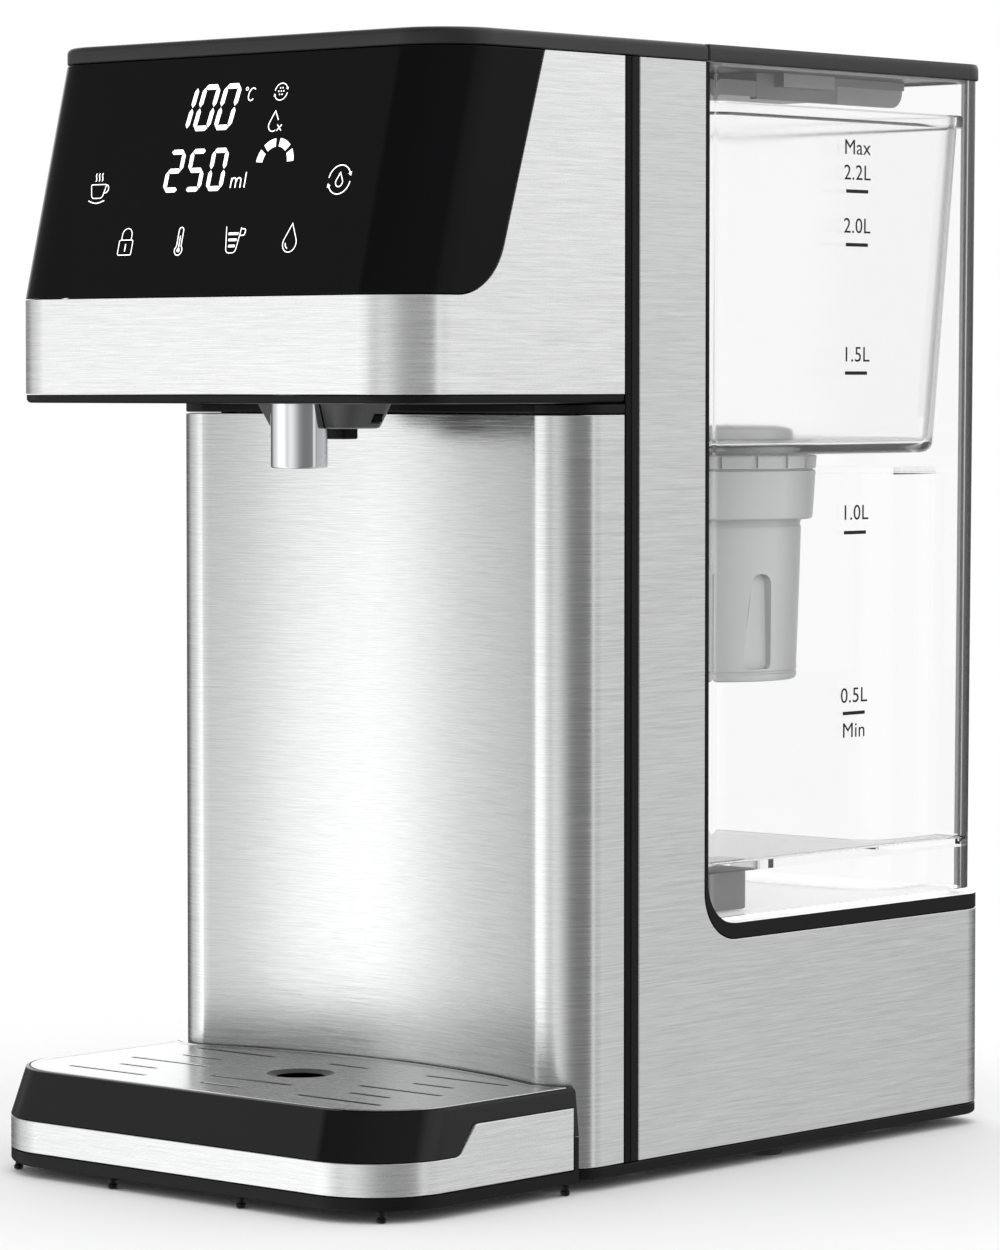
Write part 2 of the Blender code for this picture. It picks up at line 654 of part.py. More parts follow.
def make_boards():
    plate = box(0.0060, 0.0660, -0.0275, -0.0259, 0.0750, 0.1850)
    power = add("power_board", plate, BOARD_GREEN, smooth=False)
    parts = [(0.012, 0.030, 0.082, 0.104, 0.012), (0.036, 0.060, 0.084, 0.100, 0.010)]
    parts += [(0.012, 0.026, 0.120, 0.150, 0.008), (0.036, 0.058, 0.112, 0.142, 0.013)]
    parts += [(0.014, 0.056, 0.160, 0.172, 0.006)]
    for index, (x0, x1, z0, z1, depth) in enumerate(parts):
        join(power, f"power_part_{index}", box(x0, x1, -0.0264, -0.0259 + depth, z0, z1))
    plate = box(-0.060, 0.060, -0.0008, 0.0008, -0.0240, 0.0240)
    display = add("display_board", plate, BOARD_GREEN, smooth=False)
    display.location = (0, -0.1075, 0.2740)
    lean = atan2(HEAD_TOP_FRONT_Y - HEAD_FRONT_Y, COVER_BOTTOM_Z - GLASS_BOTTOM_Z)
    display.rotation_euler = (-lean, 0, 0)
    chips = [(-0.030, 0.012, -0.006, 0.020, 0.0035), (-0.050, 0.050, -0.020, -0.012, 0.0030)]
    for index, (x0, x1, z0, z1, depth) in enumerate(chips):
        helper = join(display, f"display_part_{index}", box(x0, x1, 0.0004, 0.0004 + depth, z0, z1))
        helper.location = display.location
        helper.rotation_euler = display.rotation_euler


def make_hoses():
    hose(
        "suction_hose",
        [
            (VALVE_X, VALVE_Y, 0.0396),
            (VALVE_X, VALVE_Y, 0.0340),
            (0.0410, 0.0150, 0.0260),
            (0.0320, 0.0110, 0.0240),
            (0.0240, 0.0130, 0.0290),
            (0.0200, 0.0220, 0.0355),
            (PUMP_X, 0.0336, PUMP_Z),
        ],
        HOSE_RADIUS,
        SILICONE,
    )
    hose(
        "pump_hose",
        [
            (-0.0004, 0.0500, 0.0360),
            (-0.0060, 0.0500, 0.0355),
            (-0.0140, 0.0500, 0.0355),
            (-0.0206, 0.0500, 0.0360),
        ],
        HOSE_RADIUS,
        SILICONE,
    )
    hose(
        "heater_hose",
        [
            (METER_X, 0.0356, METER_Z),
            (METER_X, 0.0250, 0.0360),
            (-0.0365, 0.0050, 0.0380),
            (HEATER_X, -0.0110, 0.0480),
            (HEATER_X, HEATER_Y, 0.0640),
            (HEATER_X, HEATER_Y, 0.0776),
        ],
        HOSE_RADIUS,
        SILICONE,
    )
    hose(
        "hot_hose",
        [
            (HEATER_X, HEATER_Y, 0.2054),
            (HEATER_X, HEATER_Y, 0.2220),
            (-0.0360, -0.0220, 0.2380),
            (-0.0240, -0.0360, 0.2450),
            (-0.0070, -0.0490, 0.2350),
            (0.0, -0.0560, 0.2300),
            (0.0, -0.0608, 0.2300),
        ],
        HOSE_RADIUS,
        SILICONE,
    )


# Tank, hopper and filter


def tank_outline(half_width, rear_y=TANK_REAR_Y, distance=0.0):
    corners = [(-half_width, TANK_FRONT_Y, 0.0040), (half_width, TANK_FRONT_Y, 0.0040)]
    corners += [(half_width, rear_y, TANK_CORNER), (-half_width, rear_y, TANK_CORNER)]
    return inset(rounded(corners, 5), distance)


def recess(distance, top):
    """The hollow up the tank's rear, widened by a distance."""
    corners = [
        (-0.0660 - distance, 0.1450, 0),
        (-0.0575 - distance, 0.1265, 0.0060),
        (-0.0575 - distance, 0.0985 - distance, 0.0100 + distance),
        (0.0575 + distance, 0.0985 - distance, 0.0100 + distance),
        (0.0575 + distance, 0.1265, 0.0060),
        (0.0660 + distance, 0.1450, 0),
    ]
    return prism(rounded(corners, 4), 0.0500, top)


def front_edge_profile():
    """Side view of what the tank's lower front edge loses to clear the cradle's round corner."""
    centre_y = SKIN_REAR_EDGE_Y + 0.0015 + CRADLE_CORNER
    centre_z = SHELF_TOP_Z + CRADLE_CORNER
    bend = arc(centre_y, centre_z, CRADLE_CORNER - 2 * GAP, -pi / 2, -pi, 6)
    return [(-0.02, 0.05), (centre_y, 0.05), *bend, (-0.02, centre_z)]


def make_tank():
    foot = tank_outline(TANK_FOOT_SIDE, TANK_REAR_Y - 0.0010)
    foot_room = inset(foot, TANK_WALL)
    shell = add(
        "tank_shell",
        loft(levels((TANK_BOTTOM_Z, foot), (SKIN_TOP_Z, tank_outline(TANK_SIDE)))),
        CLEAR,
        "tank",
    )
    cut(shell, "tank_recess", recess(0.0, RECESS_TOP_Z))
    high_room = (0.3500, tank_outline(TANK_SIDE, distance=TANK_WALL))
    rooms = {
        "tank_room": loft(levels((TANK_FLOOR_Z + TANK_FLOOR_THICKNESS, foot_room), high_room)),
        "skirt_room": prism(foot_room, 0.0500, TANK_FLOOR_Z),
    }
    for name, solid in rooms.items():
        room = tool(name, solid)
        combine(room, tool(name + "_recess", recess(TANK_WALL, RECESS_TOP_Z + TANK_WALL)), "DIFFERENCE")
        combine(shell, room, "DIFFERENCE")
    cut(shell, "front_edge_round", prism_along_x(front_edge_profile(), -0.10, 0.10))
    cut(shell, "floor_hole", turned([(0.0028, 0.0750), (0.0028, 0.0900)], (VALVE_X, VALVE_Y, 0), segments=16))
    make_valve()


def make_valve():
    housing = add(
        "valve_housing",
        prism(box_outline(VALVE_X - 0.0125, VALVE_X + 0.0210, 0.0076, 0.0320, 0.0040), 0.0705, TANK_FLOOR_Z - GAP),
        GREY,
        "tank",
    )
    centre = (VALVE_X, VALVE_Y, 0)
    well = [(0.0038, 0.0600), (0.0038, 0.0722), (0.0074, 0.0722), (0.0074, 0.0900)]
    cut(housing, "valve_well", turned(well, centre, segments=20))
    plunger = [(0.0016, 0.0708), (0.0016, 0.0740), (0.0056, 0.0740), (0.0056, 0.0752)]
    plunger += [(0.0016, 0.0752), (0.0016, 0.0805)]
    add("valve_plunger", turned(plunger, centre, segments=16), WHITE, "plunger")
    seal = [(0.0020, 0.0725), (0.0058, 0.0725), (0.0058, 0.0737), (0.0020, 0.0737)]
    add("valve_seal", turned(seal, centre, segments=16, hollow=True), SILICONE, "plunger")
    coils = 2.5
    steps = 12
    wire = 0.0003
    mean = 0.0036
    low = 0.0752 + GAP + wire
    high = TANK_FLOOR_Z - GAP - wire
    rings = []
    count = int(coils * steps)
    for index in range(count + 1):
        angle = 2 * pi * index / steps
        middle = Vector((mean * cos(angle), mean * sin(angle), low + (high - low) * index / count))
        outward = Vector((cos(angle), sin(angle), 0))
        upward = Vector((0, 0, 1))
        ring = [middle + wire * (outward * cos(a) + upward * sin(a)) for a in (0, pi / 2, pi, 3 * pi / 2)]
        rings.append([point + Vector(centre) for point in ring])
    add("valve_spring", loft(rings), ALUMINIUM, "tank")


def make_hopper():
    rim = box_outline(-0.0735, 0.0735, 0.0050, 0.1270, 0.0100, 5)
    high = box_outline(-0.0722, 0.0722, 0.0060, 0.1256, 0.0100, 5)
    low = box_outline(-0.0690, 0.0690, 0.0075, 0.1210, 0.0120, 5)
    hopper = add(
        "hopper",
        loft(
            levels(
                (0.1985, inset(low, 0.0060)),
                (0.2000, inset(low, 0.0022)),
                (0.2040, inset(low, 0.0004)),
                (0.2090, low),
                (HOPPER_RIM_Z, high),
                (HOPPER_RIM_Z, rim),
                (0.2970, rim),
                (0.2970, inset(high, HOPPER_WALL)),
                (0.2090, inset(low, HOPPER_WALL)),
                (0.2040, inset(low, 0.0022)),
                (0.2010, inset(low, 0.0060)),
            )
        ),
        WHITE,
        "tank",
    )
    centre = (FILTER_X, FILTER_Y, 0)
    cut(hopper, "filter_hole", turned([(0.0240, 0.19), (0.0240, 0.22)], centre, segments=28))
    collar = [(0.0286, COLLAR_BOTTOM_Z), (0.0300, COLLAR_BOTTOM_Z), (0.0312, COLLAR_TOP_Z)]
    collar += [(0.0245, COLLAR_TOP_Z), (0.0245, 0.1958), (0.0286, 0.1958)]
    add("filter_collar", turned(collar, centre, segments=32, hollow=True), WHITE, "tank")
    cartridge = [(0.0220, 0.1329), (0.0254, 0.1343), (0.0268, 0.1800), (0.0281, 0.1804), (0.0281, 0.1950)]
    cartridge += [(0.0238, 0.1950), (0.0238, 0.2040), (0.0200, 0.2060)]
    add("filter_cartridge", turned(cartridge, centre, segments=32), WHITE, "tank")


# Lid and its folding handle


def make_lid():
    half = HALF_WIDTH
    corners = [(-half, SPLIT_Y + GAP, 0.0004), (half, SPLIT_Y + GAP, 0.0004)]
    corners += [(half, TANK_REAR_Y + 0.0008, TANK_CORNER), (-half, TANK_REAR_Y + 0.0008, TANK_CORNER)]
    outline = rounded(corners, 5)
    lid = add(
        "tank_lid",
        loft(
            levels(
                (COVER_BOTTOM_Z, outline),
                (COVER_TOP_Z - 0.0012, outline),
                (COVER_TOP_Z - 0.0003, inset(outline, 0.0003)),
                (COVER_TOP_Z, inset(outline, 0.0010)),
            )
        ),
        BLACK,
        "lid",
    )
    outer, inner = (
        box_outline(d - half, half - d, TANK_FRONT_Y + d, TANK_REAR_Y - d, 0.0070, 5) for d in (0.0038, 0.0054)
    )
    low = LID_SKIRT_BOTTOM_Z
    skirt = loft(levels((low, outer), (0.3080, outer), (0.3080, inner), (low, inner)), cycle=True)
    join(lid, "lid_skirt", skirt)
    join(lid, "handle_well", box(-0.0516, 0.0516, 0.0514, 0.1206, 0.2999, 0.3080, 0.0040))
    cut(lid, "handle_room", box(-0.0500, 0.0500, 0.0530, 0.1190, 0.3015, 0.3300, 0.0030))
    rod_place = (0, HANDLE_PIVOT_Y, HANDLE_PIVOT_Z)
    cut(lid, "rod_hole", turned([(0.0018, -0.0545), (0.0018, 0.0545)], rod_place, "X", 16))
    add("handle_rod", turned([(0.0015, -0.0540), (0.0015, 0.0540)], rod_place, "X", 16), ALUMINIUM, "lid")
    half_height = 0.0033
    end_y = HANDLE_PIVOT_Y - 0.0036
    bail = [
        (-0.0485, end_y, 0.0),
        (-0.0420, end_y, 0.0),
        (-0.0420, 0.1070, 0.0060),
        (0.0420, 0.1070, 0.0060),
        (0.0420, end_y, 0.0),
        (0.0485, end_y, 0.0),
        (0.0485, 0.1165, 0.0090),
        (-0.0485, 0.1165, 0.0090),
    ]
    bow = prism(rounded(bail, 4), HANDLE_PIVOT_Z - half_height, HANDLE_PIVOT_Z + half_height)
    handle = add("lid_handle", bow, BLACK, "handle")
    cut(handle, "bail_bore", turned([(0.0016, -0.0600), (0.0016, 0.0600)], rod_place, "X", 16))


# Drip tray


def slots():
    """Drip slots as (x, y, length): long and short ones take turns, and the drain is in the middle."""
    long = 0.0305
    short = 0.0150
    rows = [(-0.1133, (long, short, long)), (-0.1013, (short, long, short)), (-0.0893, (long, 0, long))]
    rows += [(-0.0763, (short, 0, short)), (-0.0628, (long, short, long))]
    return [(x, y, size) for y, row in rows for x, size in zip((-0.0442, 0.0, 0.0442), row) if size]


def step_profile(gap):
    """Side view of the step where the steel band climbs on the tray's sides."""
    low = TRAY_BAND_TOP_Z + gap
    high = TRAY_SIDE_BAND_TOP_Z + gap
    rear = BAND_END_Y + gap
    return rounded(
        [
            (TRAY_STEP_Y - 0.0035 - gap, low, 0.0030),
            (TRAY_STEP_Y + 0.0030 - gap, high, 0.0025),
            (rear, high, 0),
            (rear, 0.0, 0),
            (-0.20, 0.0, 0),
            (-0.20, low, 0),
        ],
        3,
    )


def make_tray():
    full = tray_outline(TRAY_FRONT_Y, HALF_WIDTH)
    top = tray_outline(TRAY_FRONT_Y + 0.0043, HALF_WIDTH - 0.0012)
    opening = inset(top, 0.0011)
    ledge = inset(top, 0.0030)
    shoulder = TRAY_BAND_BOTTOM_Z - GAP
    basin = add(
        "tray_basin",
        loft(
            levels(
                (TRAY_BOTTOM_Z, inset(full, 0.0008)),
                (TRAY_BOTTOM_Z + 0.0008, full),
                (shoulder, full),
                (shoulder, inset(full, BASIN_WALL_INSET)),
                (TRAY_BAND_TOP_Z, inset(full, BASIN_WALL_INSET)),
                (TRAY_BAND_TOP_Z, inset(full, 0.0046)),
                (BASIN_FLOOR_Z, inset(full, 0.0050)),
            )
        ),
        BLACK,
        "tray",
    )
    pins = [(0.0245, -0.1304), (0.0692, -0.1236), (0.0752, -0.0575)]
    pin = [(0.0010, 0.0002), (0.0013, 0.0006), (0.0013, 0.0012), (0.0009, 0.0016), (0.0009, 0.0040)]
    for side in (-1, 1):
        for index, (x, y) in enumerate(pins):
            join(basin, f"tray_pin_{side}_{index}", turned(pin, (side * x, y, 0), segments=10))
        inner = HALF_WIDTH - 0.0020
        front = BAND_END_Y + GAP
        post = [(inner, front), (HALF_WIDTH, front), (HALF_WIDTH, TRAY_REAR_Y), (inner, TRAY_REAR_Y - 0.0007)]
        corner = prism([(side * x, y) for x, y in post], TRAY_BOTTOM_Z + 0.0010, TRAY_BAND_TOP_Z)
        join(basin, f"tray_end_{side}", corner)
    band = add(
        "tray_band",
        prism(wall(tray_path(full), STEEL), TRAY_BAND_BOTTOM_Z, TRAY_SIDE_BAND_TOP_Z + 0.0060),
        STEEL_LOOK,
        "tray",
    )
    combine(band, tool("band_shape", prism_along_x(step_profile(0.0), -0.10, 0.10)), "INTERSECT")
    bezel = add(
        "tray_bezel",
        loft(
            levels(
                (TRAY_BAND_TOP_Z + GAP, full),
                (TRAY_TOP_Z - 0.0005, top),
                (TRAY_TOP_Z, inset(top, 0.0005)),
                (TRAY_TOP_Z, opening),
                (TRAY_TOP_Z - 0.0016, opening),
                (TRAY_TOP_Z - 0.0016, ledge),
                (TRAY_BAND_TOP_Z + GAP, inset(full, 0.0042)),
            ),
            cycle=True,
        ),
        GLOSS_BLACK,
        "tray",
    )
    for side in (-1, 1):
        ends = sorted((side * (HALF_WIDTH - STEEL - GAP), side * 0.10))
        cut(bezel, f"band_room_{side}", prism_along_x(step_profile(GAP), *ends))
    make_plate(inset(opening, GAP))


def tray_path(full):
    """The open part of the tray's outline that the steel band follows, from left to right."""
    corners = full[: 2 * (TRAY_CORNER_STEPS + 1)]
    return [(-HALF_WIDTH, BAND_END_Y), *corners, (HALF_WIDTH, BAND_END_Y)]


def make_plate(outline):
    low = PLATE_TOP_Z - PLATE_THICKNESS
    plate = add(
        "drip_plate",
        loft(
            levels(
                (low, outline),
                (PLATE_TOP_Z, outline),
                (PLATE_TOP_Z, inset(outline, 0.0010)),
                (PLATE_TOP_Z - 0.0003, inset(outline, 0.0014)),
            )
        ),
        STEEL_LOOK,
        "plate",
    )
    for index, (x, y, size) in enumerate(slots()):
        half = size / 2
        outline = box_outline(x - half, x + half, y - 0.0008, y + 0.0008, 0.00079, 2)
        cut(plate, f"slot_{index}", prism(outline, 0.02, 0.04))
    drain = [(0.0073, 0.02), (0.0073, 0.0284), (0.0093, 0.0291), (0.0093, 0.04)]
    cut(plate, "drain", turned(drain, (0, NOZZLE_Y, 0), segments=24))


def main():
    for obj in list(bpy.data.objects):
        bpy.data.objects.remove(obj, do_unlink=True)
    for name, place in PIVOTS.items():
        empty = bpy.data.objects.new(name + "_pivot", None)
        empty.location = place
        bpy.context.collection.objects.link(empty)
        bodies[name] = empty
    make_base()
    make_skins()
    make_head()
    make_spout()
    make_frame()
    make_cradle()
    make_pump()
    make_flow_meter()
    make_heater()
    make_boards()
    make_hoses()
    make_tank()
    make_hopper()
    make_lid()
    make_tray()


main()
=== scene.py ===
"""Looks of the countertop hot-water dispenser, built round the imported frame.

Metres, +Z up, the front faces -Y.
"""

from math import acos, atan2, cos, pi, radians, sin, sqrt, tan

import bmesh
import bpy
from mathutils import Matrix, Vector


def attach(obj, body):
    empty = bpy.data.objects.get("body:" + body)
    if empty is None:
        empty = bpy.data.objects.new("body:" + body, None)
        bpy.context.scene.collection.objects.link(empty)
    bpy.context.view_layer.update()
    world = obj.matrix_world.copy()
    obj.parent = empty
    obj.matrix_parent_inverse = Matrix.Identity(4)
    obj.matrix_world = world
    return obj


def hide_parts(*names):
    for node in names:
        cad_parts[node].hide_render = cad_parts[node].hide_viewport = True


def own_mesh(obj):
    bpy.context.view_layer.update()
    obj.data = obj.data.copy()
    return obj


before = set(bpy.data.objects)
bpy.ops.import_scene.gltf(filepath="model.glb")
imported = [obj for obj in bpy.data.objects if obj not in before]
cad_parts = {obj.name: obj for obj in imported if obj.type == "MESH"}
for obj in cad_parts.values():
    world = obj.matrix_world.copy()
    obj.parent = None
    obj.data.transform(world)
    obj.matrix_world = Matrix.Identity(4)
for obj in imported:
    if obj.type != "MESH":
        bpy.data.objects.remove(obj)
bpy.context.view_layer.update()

# The frame's own sizes
HALF_WIDTH = 0.0772
REAR_Y = 0.1325
TRAY_FRONT_Y = -0.1325
COVER_TOP_Z = 0.3120
COVER_BOTTOM_Z = 0.3074
GAP = 0.0003
STEEL = 0.0010
FOOT_HEIGHT = 0.0028
BASE_BOTTOM_Z = FOOT_HEIGHT + GAP
BASE_TOP_Z = 0.0063
SKIN_BOTTOM_Z = BASE_TOP_Z + GAP
SKIN_TOP_Z = COVER_BOTTOM_Z - GAP
COLUMN_TOP_Z = 0.2106
UNDERSIDE_BOTTOM_Z = 0.2134
BAND_BOTTOM_Z = 0.2156
GLASS_BOTTOM_Z = 0.2420
SHELF_BOTTOM_Z = 0.0643
SHELF_TOP_Z = 0.0685
TANK_BOTTOM_Z = 0.0702
TANK_FLOOR_Z = 0.0824
HEAD_FRONT_Y = -0.1223
HEAD_TOP_FRONT_Y = -0.1060
STRIP_FRONT_Y = -0.0351
STRIP_REAR_Y = -0.0295
SKIN_REAR_EDGE_Y = -0.0010
TANK_FRONT_Y = 0.0016
TANK_REAR_Y = 0.1300
TRAY_REAR_Y = -0.0542
HOLLOW_MIDDLE_Y = -0.0455
HOLLOW_RADIUS = 0.1843
COLUMN_CORNER = 0.0127
COLUMN_CORNER_Y = -0.0440
HEAD_CORNER = 0.0180
REAR_CORNER = 0.0120
TANK_CORNER = 0.0100
TRAY_CORNER = 0.0240
CRADLE_CORNER = 0.0120
TRAY_BOTTOM_Z = 0.0030
TRAY_BAND_BOTTOM_Z = 0.0070
TRAY_BAND_TOP_Z = 0.0158
TRAY_SIDE_BAND_TOP_Z = 0.0238
TRAY_TOP_Z = 0.0291
TRAY_STEP_Y = -0.0985
PLATE_TOP_Z = 0.0293
NOZZLE_Y = -0.0822
NOZZLE_RADIUS = 0.0079
NOZZLE_BOTTOM_Z = 0.1955
FILTER_X = 0.0260
FILTER_Y = 0.0616
VALVE_X = 0.0450
VALVE_Y = 0.0180
HANDLE_PIVOT_Y = 0.0660
HANDLE_PIVOT_Z = 0.3080
TANK_WALL = 0.0022
TANK_SIDE = HALF_WIDTH - 0.0004
TANK_FOOT_SIDE = TANK_SIDE - 0.0010
LID_SKIRT_BOTTOM_Z = 0.3066
RECESS_TOP_Z = 0.1920
CRADLE_BACK_Y = SKIN_REAR_EDGE_Y + 0.0015
TANK_FOOT_REAR_Y = TANK_REAR_Y - 0.0010
HEAD_WALL = 0.0016
ACROSS = (-0.10, 0.10)  # an X range that passes right through the dispenser

# Outlines in the XY plane


def arc(centre_x, centre_y, radius, start, end, steps):
    """Points on a circle from one angle to another, in radians, both ends included."""
    angles = [start + (end - start) * i / steps for i in range(steps + 1)]
    return [(centre_x + radius * cos(a), centre_y + radius * sin(a)) for a in angles]


def rounded(corners, steps=10):
    """A closed outline through (x, y, radius) corners, each rounded by its radius."""
    outline = []
    for index, (x, y, radius) in enumerate(corners):
        here = Vector((x, y))
        if radius == 0:
            outline.append((x, y))
            continue
        to_last = (Vector(corners[index - 1][:2]) - here).normalized()
        to_next = (Vector(corners[(index + 1) % len(corners)][:2]) - here).normalized()
        half = to_last.angle(to_next) / 2
        centre = here + (to_last + to_next).normalized() * radius / sin(half)
        first = here + to_last * radius / tan(half) - centre
        last = here + to_next * radius / tan(half) - centre
        start = atan2(first.y, first.x)
        turn = (atan2(last.y, last.x) - start + pi) % (2 * pi) - pi
        outline += arc(centre.x, centre.y, radius, start, start + turn, steps)
    return outline


def box_outline(x0, x1, y0, y1, radius=0.0, steps=8):
    return rounded([(x0, y0, radius), (x1, y0, radius), (x1, y1, radius), (x0, y1, radius)], steps)


def signed_area(outline):
    following = outline[1:] + outline[:1]
    return sum(a[0] * b[1] - b[0] * a[1] for a, b in zip(outline, following)) / 2


def inset(outline, distance):
    """The closed outline moved inwards by a distance, corner by corner."""
    side = 1 if signed_area(outline) > 0 else -1
    moved = []
    for index, point in enumerate(outline):
        here = Vector(point)
        before = (here - Vector(outline[index - 1])).normalized()
        after = (Vector(outline[(index + 1) % len(outline)]) - here).normalized()
        first = Vector((-before.y, before.x)) * side
        second = Vector((-after.y, after.x)) * side
        moved.append(tuple(here + (first + second) / (1 + first.dot(second)) * distance))
    return moved


def beside(path, distance):
    """An open path moved to its left by a distance."""
    moved = []
    for index, point in enumerate(path):
        here = Vector(point)
        before = here - Vector(path[index - 1]) if index else Vector(path[1]) - here
        after = Vector(path[index + 1]) - here if index < len(path) - 1 else before
        before.normalize()
        after.normalize()
        first = Vector((-before.y, before.x))
        second = Vector((-after.y, after.x))
        moved.append(tuple(here + (first + second) / (1 + first.dot(second)) * distance))
    return moved


def wall(path, thickness):
    """The closed outline of a wall whose outer face runs along an open path."""
    return list(path) + beside(path, thickness)[::-1]


def circle(radius, segments, centre=(0.0, 0.0)):
    return arc(*centre, radius, 0, 2 * pi, segments)[:-1]


def column_path(end_y=STRIP_FRONT_Y - GAP):
    """The column's outside from the left strip round the hollow front to the right strip."""
    corner_x = HALF_WIDTH - COLUMN_CORNER
    hollow = Vector((0.0, HOLLOW_MIDDLE_Y - HOLLOW_RADIUS))
    corner = Vector((corner_x, COLUMN_CORNER_Y))
    between = corner - hollow
    along = (HOLLOW_RADIUS**2 - COLUMN_CORNER**2 + between.length_squared) / (2 * between.length)
    across = sqrt(HOLLOW_RADIUS**2 - along**2)
    unit = between.normalized()
    crease = hollow + unit * along + Vector((unit.y, -unit.x)) * across
    crease_angle = atan2(crease.y - corner.y, crease.x - corner.x)
    hollow_angle = atan2(crease.y - hollow.y, crease.x - hollow.x)
    left = arc(-corner_x, COLUMN_CORNER_Y, COLUMN_CORNER, -pi, -pi - crease_angle, 24)
    middle = arc(*hollow, HOLLOW_RADIUS, pi - hollow_angle, hollow_angle, 64)
    right = [(-x, y) for x, y in reversed(left)]
    return [(-HALF_WIDTH, end_y), *left, *middle[1:-1], *right, (HALF_WIDTH, end_y)]


def head_path(front_y, end_y=STRIP_FRONT_Y - GAP):
    """The head's outside from the left strip round the front to the right strip."""
    centre_x = HALF_WIDTH - HEAD_CORNER
    centre_y = front_y + HEAD_CORNER
    left = arc(-centre_x, centre_y, HEAD_CORNER, -pi, -pi / 2, 28)
    right = arc(centre_x, centre_y, HEAD_CORNER, -pi / 2, 0, 28)
    return [(-HALF_WIDTH, end_y), *left, *right, (HALF_WIDTH, end_y)]


def rear_path(end_y=STRIP_REAR_Y + GAP):
    """The rear skin's outside from the right strip round the back to the left strip."""
    centre_x = HALF_WIDTH - REAR_CORNER
    centre_y = REAR_Y - REAR_CORNER
    right = arc(centre_x, centre_y, REAR_CORNER, 0, pi / 2, 20)
    left = arc(-centre_x, centre_y, REAR_CORNER, pi / 2, pi, 20)
    return [(HALF_WIDTH, end_y), *right, *left, (-HALF_WIDTH, end_y)]


TRAY_STEPS = 28


def tray_outline(front_y, half_width):
    """The drip tray in plan: round front corners and a rear edge that follows the column."""
    centre_x = half_width - TRAY_CORNER
    centre_y = front_y + TRAY_CORNER
    left = arc(-centre_x, centre_y, TRAY_CORNER, -pi, -pi / 2, TRAY_STEPS)
    right = arc(centre_x, centre_y, TRAY_CORNER, -pi / 2, 0, TRAY_STEPS)
    reach = HOLLOW_RADIUS - 2 * GAP
    crease = atan2(sqrt(reach**2 - 0.0632**2), 0.0632)
    rear = arc(0.0, HOLLOW_MIDDLE_Y - HOLLOW_RADIUS, reach, crease, pi - crease, 48)
    bend = (0.0700, -0.0568)
    ends = [(half_width, TRAY_REAR_Y), bend], [(-bend[0], bend[1]), (-half_width, TRAY_REAR_Y)]
    return [*left, *right, *ends[0], *rear, *ends[1]]


def footprint(distance=0.0):
    """The dispenser's whole outline in plan, moved inwards by a distance."""
    return inset([*column_path(STRIP_FRONT_Y)[1:-1], *rear_path()[1:-1]], distance)


def tank_outline(half_width, rear_y=TANK_REAR_Y, distance=0.0):
    corners = [(-half_width, TANK_FRONT_Y, 0.0040), (half_width, TANK_FRONT_Y, 0.0040)]
    corners += [(half_width, rear_y, TANK_CORNER), (-half_width, rear_y, TANK_CORNER)]
    return inset(rounded(corners, 16), distance)


# Solids


def loft(rings, cycle=False):
    """Skins rings of equally many points, with capped ends or, for a cycle, joined end to start."""
    mesh = bmesh.new()
    loops = [[mesh.verts.new(point) for point in ring] for ring in rings]
    pairs = list(zip(loops, loops[1:]))
    if cycle:
        pairs.append((loops[-1], loops[0]))
    else:
        mesh.faces.new(loops[0])
        mesh.faces.new(loops[-1])
    for low, high in pairs:
        for i in range(len(low)):
            j = (i + 1) % len(low)
            mesh.faces.new((low[i], low[j], high[j], high[i]))
    bmesh.ops.recalc_face_normals(mesh, faces=mesh.faces)
    return mesh


def levels(*steps):
    """Rings from (z, outline) pairs."""
    return [[(x, y, z) for x, y in outline] for z, outline in steps]


def stack(outline, *steps, cycle=False):
    """A solid over one outline, from (z, inset) pairs."""
    return loft(levels(*((z, inset(outline, distance)) for z, distance in steps)), cycle)


def prism(outline, z0, z1):
    return loft(levels((z0, outline), (z1, outline)))


def pillow(outline, z0, z1, low=0.0, high=0.0, steps=4):
    """A prism whose lower and upper rims are rounded by the radii low and high."""
    rings = []
    for i in range(steps + 1) if low else ():
        a = pi / 2 * i / steps
        rings.append((z0 + low * (1 - cos(a)), inset(outline, low * (1 - sin(a)))))
    if not low:
        rings.append((z0, outline))
    for i in range(steps + 1) if high else ():
        a = pi / 2 * i / steps
        rings.append((z1 - high * (1 - sin(a)), inset(outline, high * (1 - cos(a)))))
    if not high:
        rings.append((z1, outline))
    return loft(levels(*rings))


def box(x0, x1, y0, y1, z0, z1, radius=0.0):
    return prism(box_outline(x0, x1, y0, y1, radius), z0, z1)


def prism_along_x(outline, x0, x1):
    """A prism whose outline is in the YZ plane."""
    return loft([[(x, y, z) for y, z in outline] for x in (x0, x1)])


def turned(profile, centre, axis="Z", segments=48, hollow=False):
    """A turned solid from (radius, height) points; a hollow one has its profile closed."""
    rings = [[(x, y, height) for x, y in circle(radius, segments)] for radius, height in profile]
    mesh = loft(rings, cycle=hollow)
    turn = {"Z": Matrix(), "Y": Matrix.Rotation(-pi / 2, 4, "X"), "X": Matrix.Rotation(pi / 2, 4, "Y")}
    mesh.transform(Matrix.Translation(centre) @ turn[axis])
    return mesh


def merged(*solids):
    """Several solids, apart from each other, as one mesh."""
    whole = bmesh.new()
    for solid in solids:
        part = bpy.data.meshes.new("part")
        solid.to_mesh(part)
        solid.free()
        whole.from_mesh(part)
        bpy.data.meshes.remove(part)
    return whole


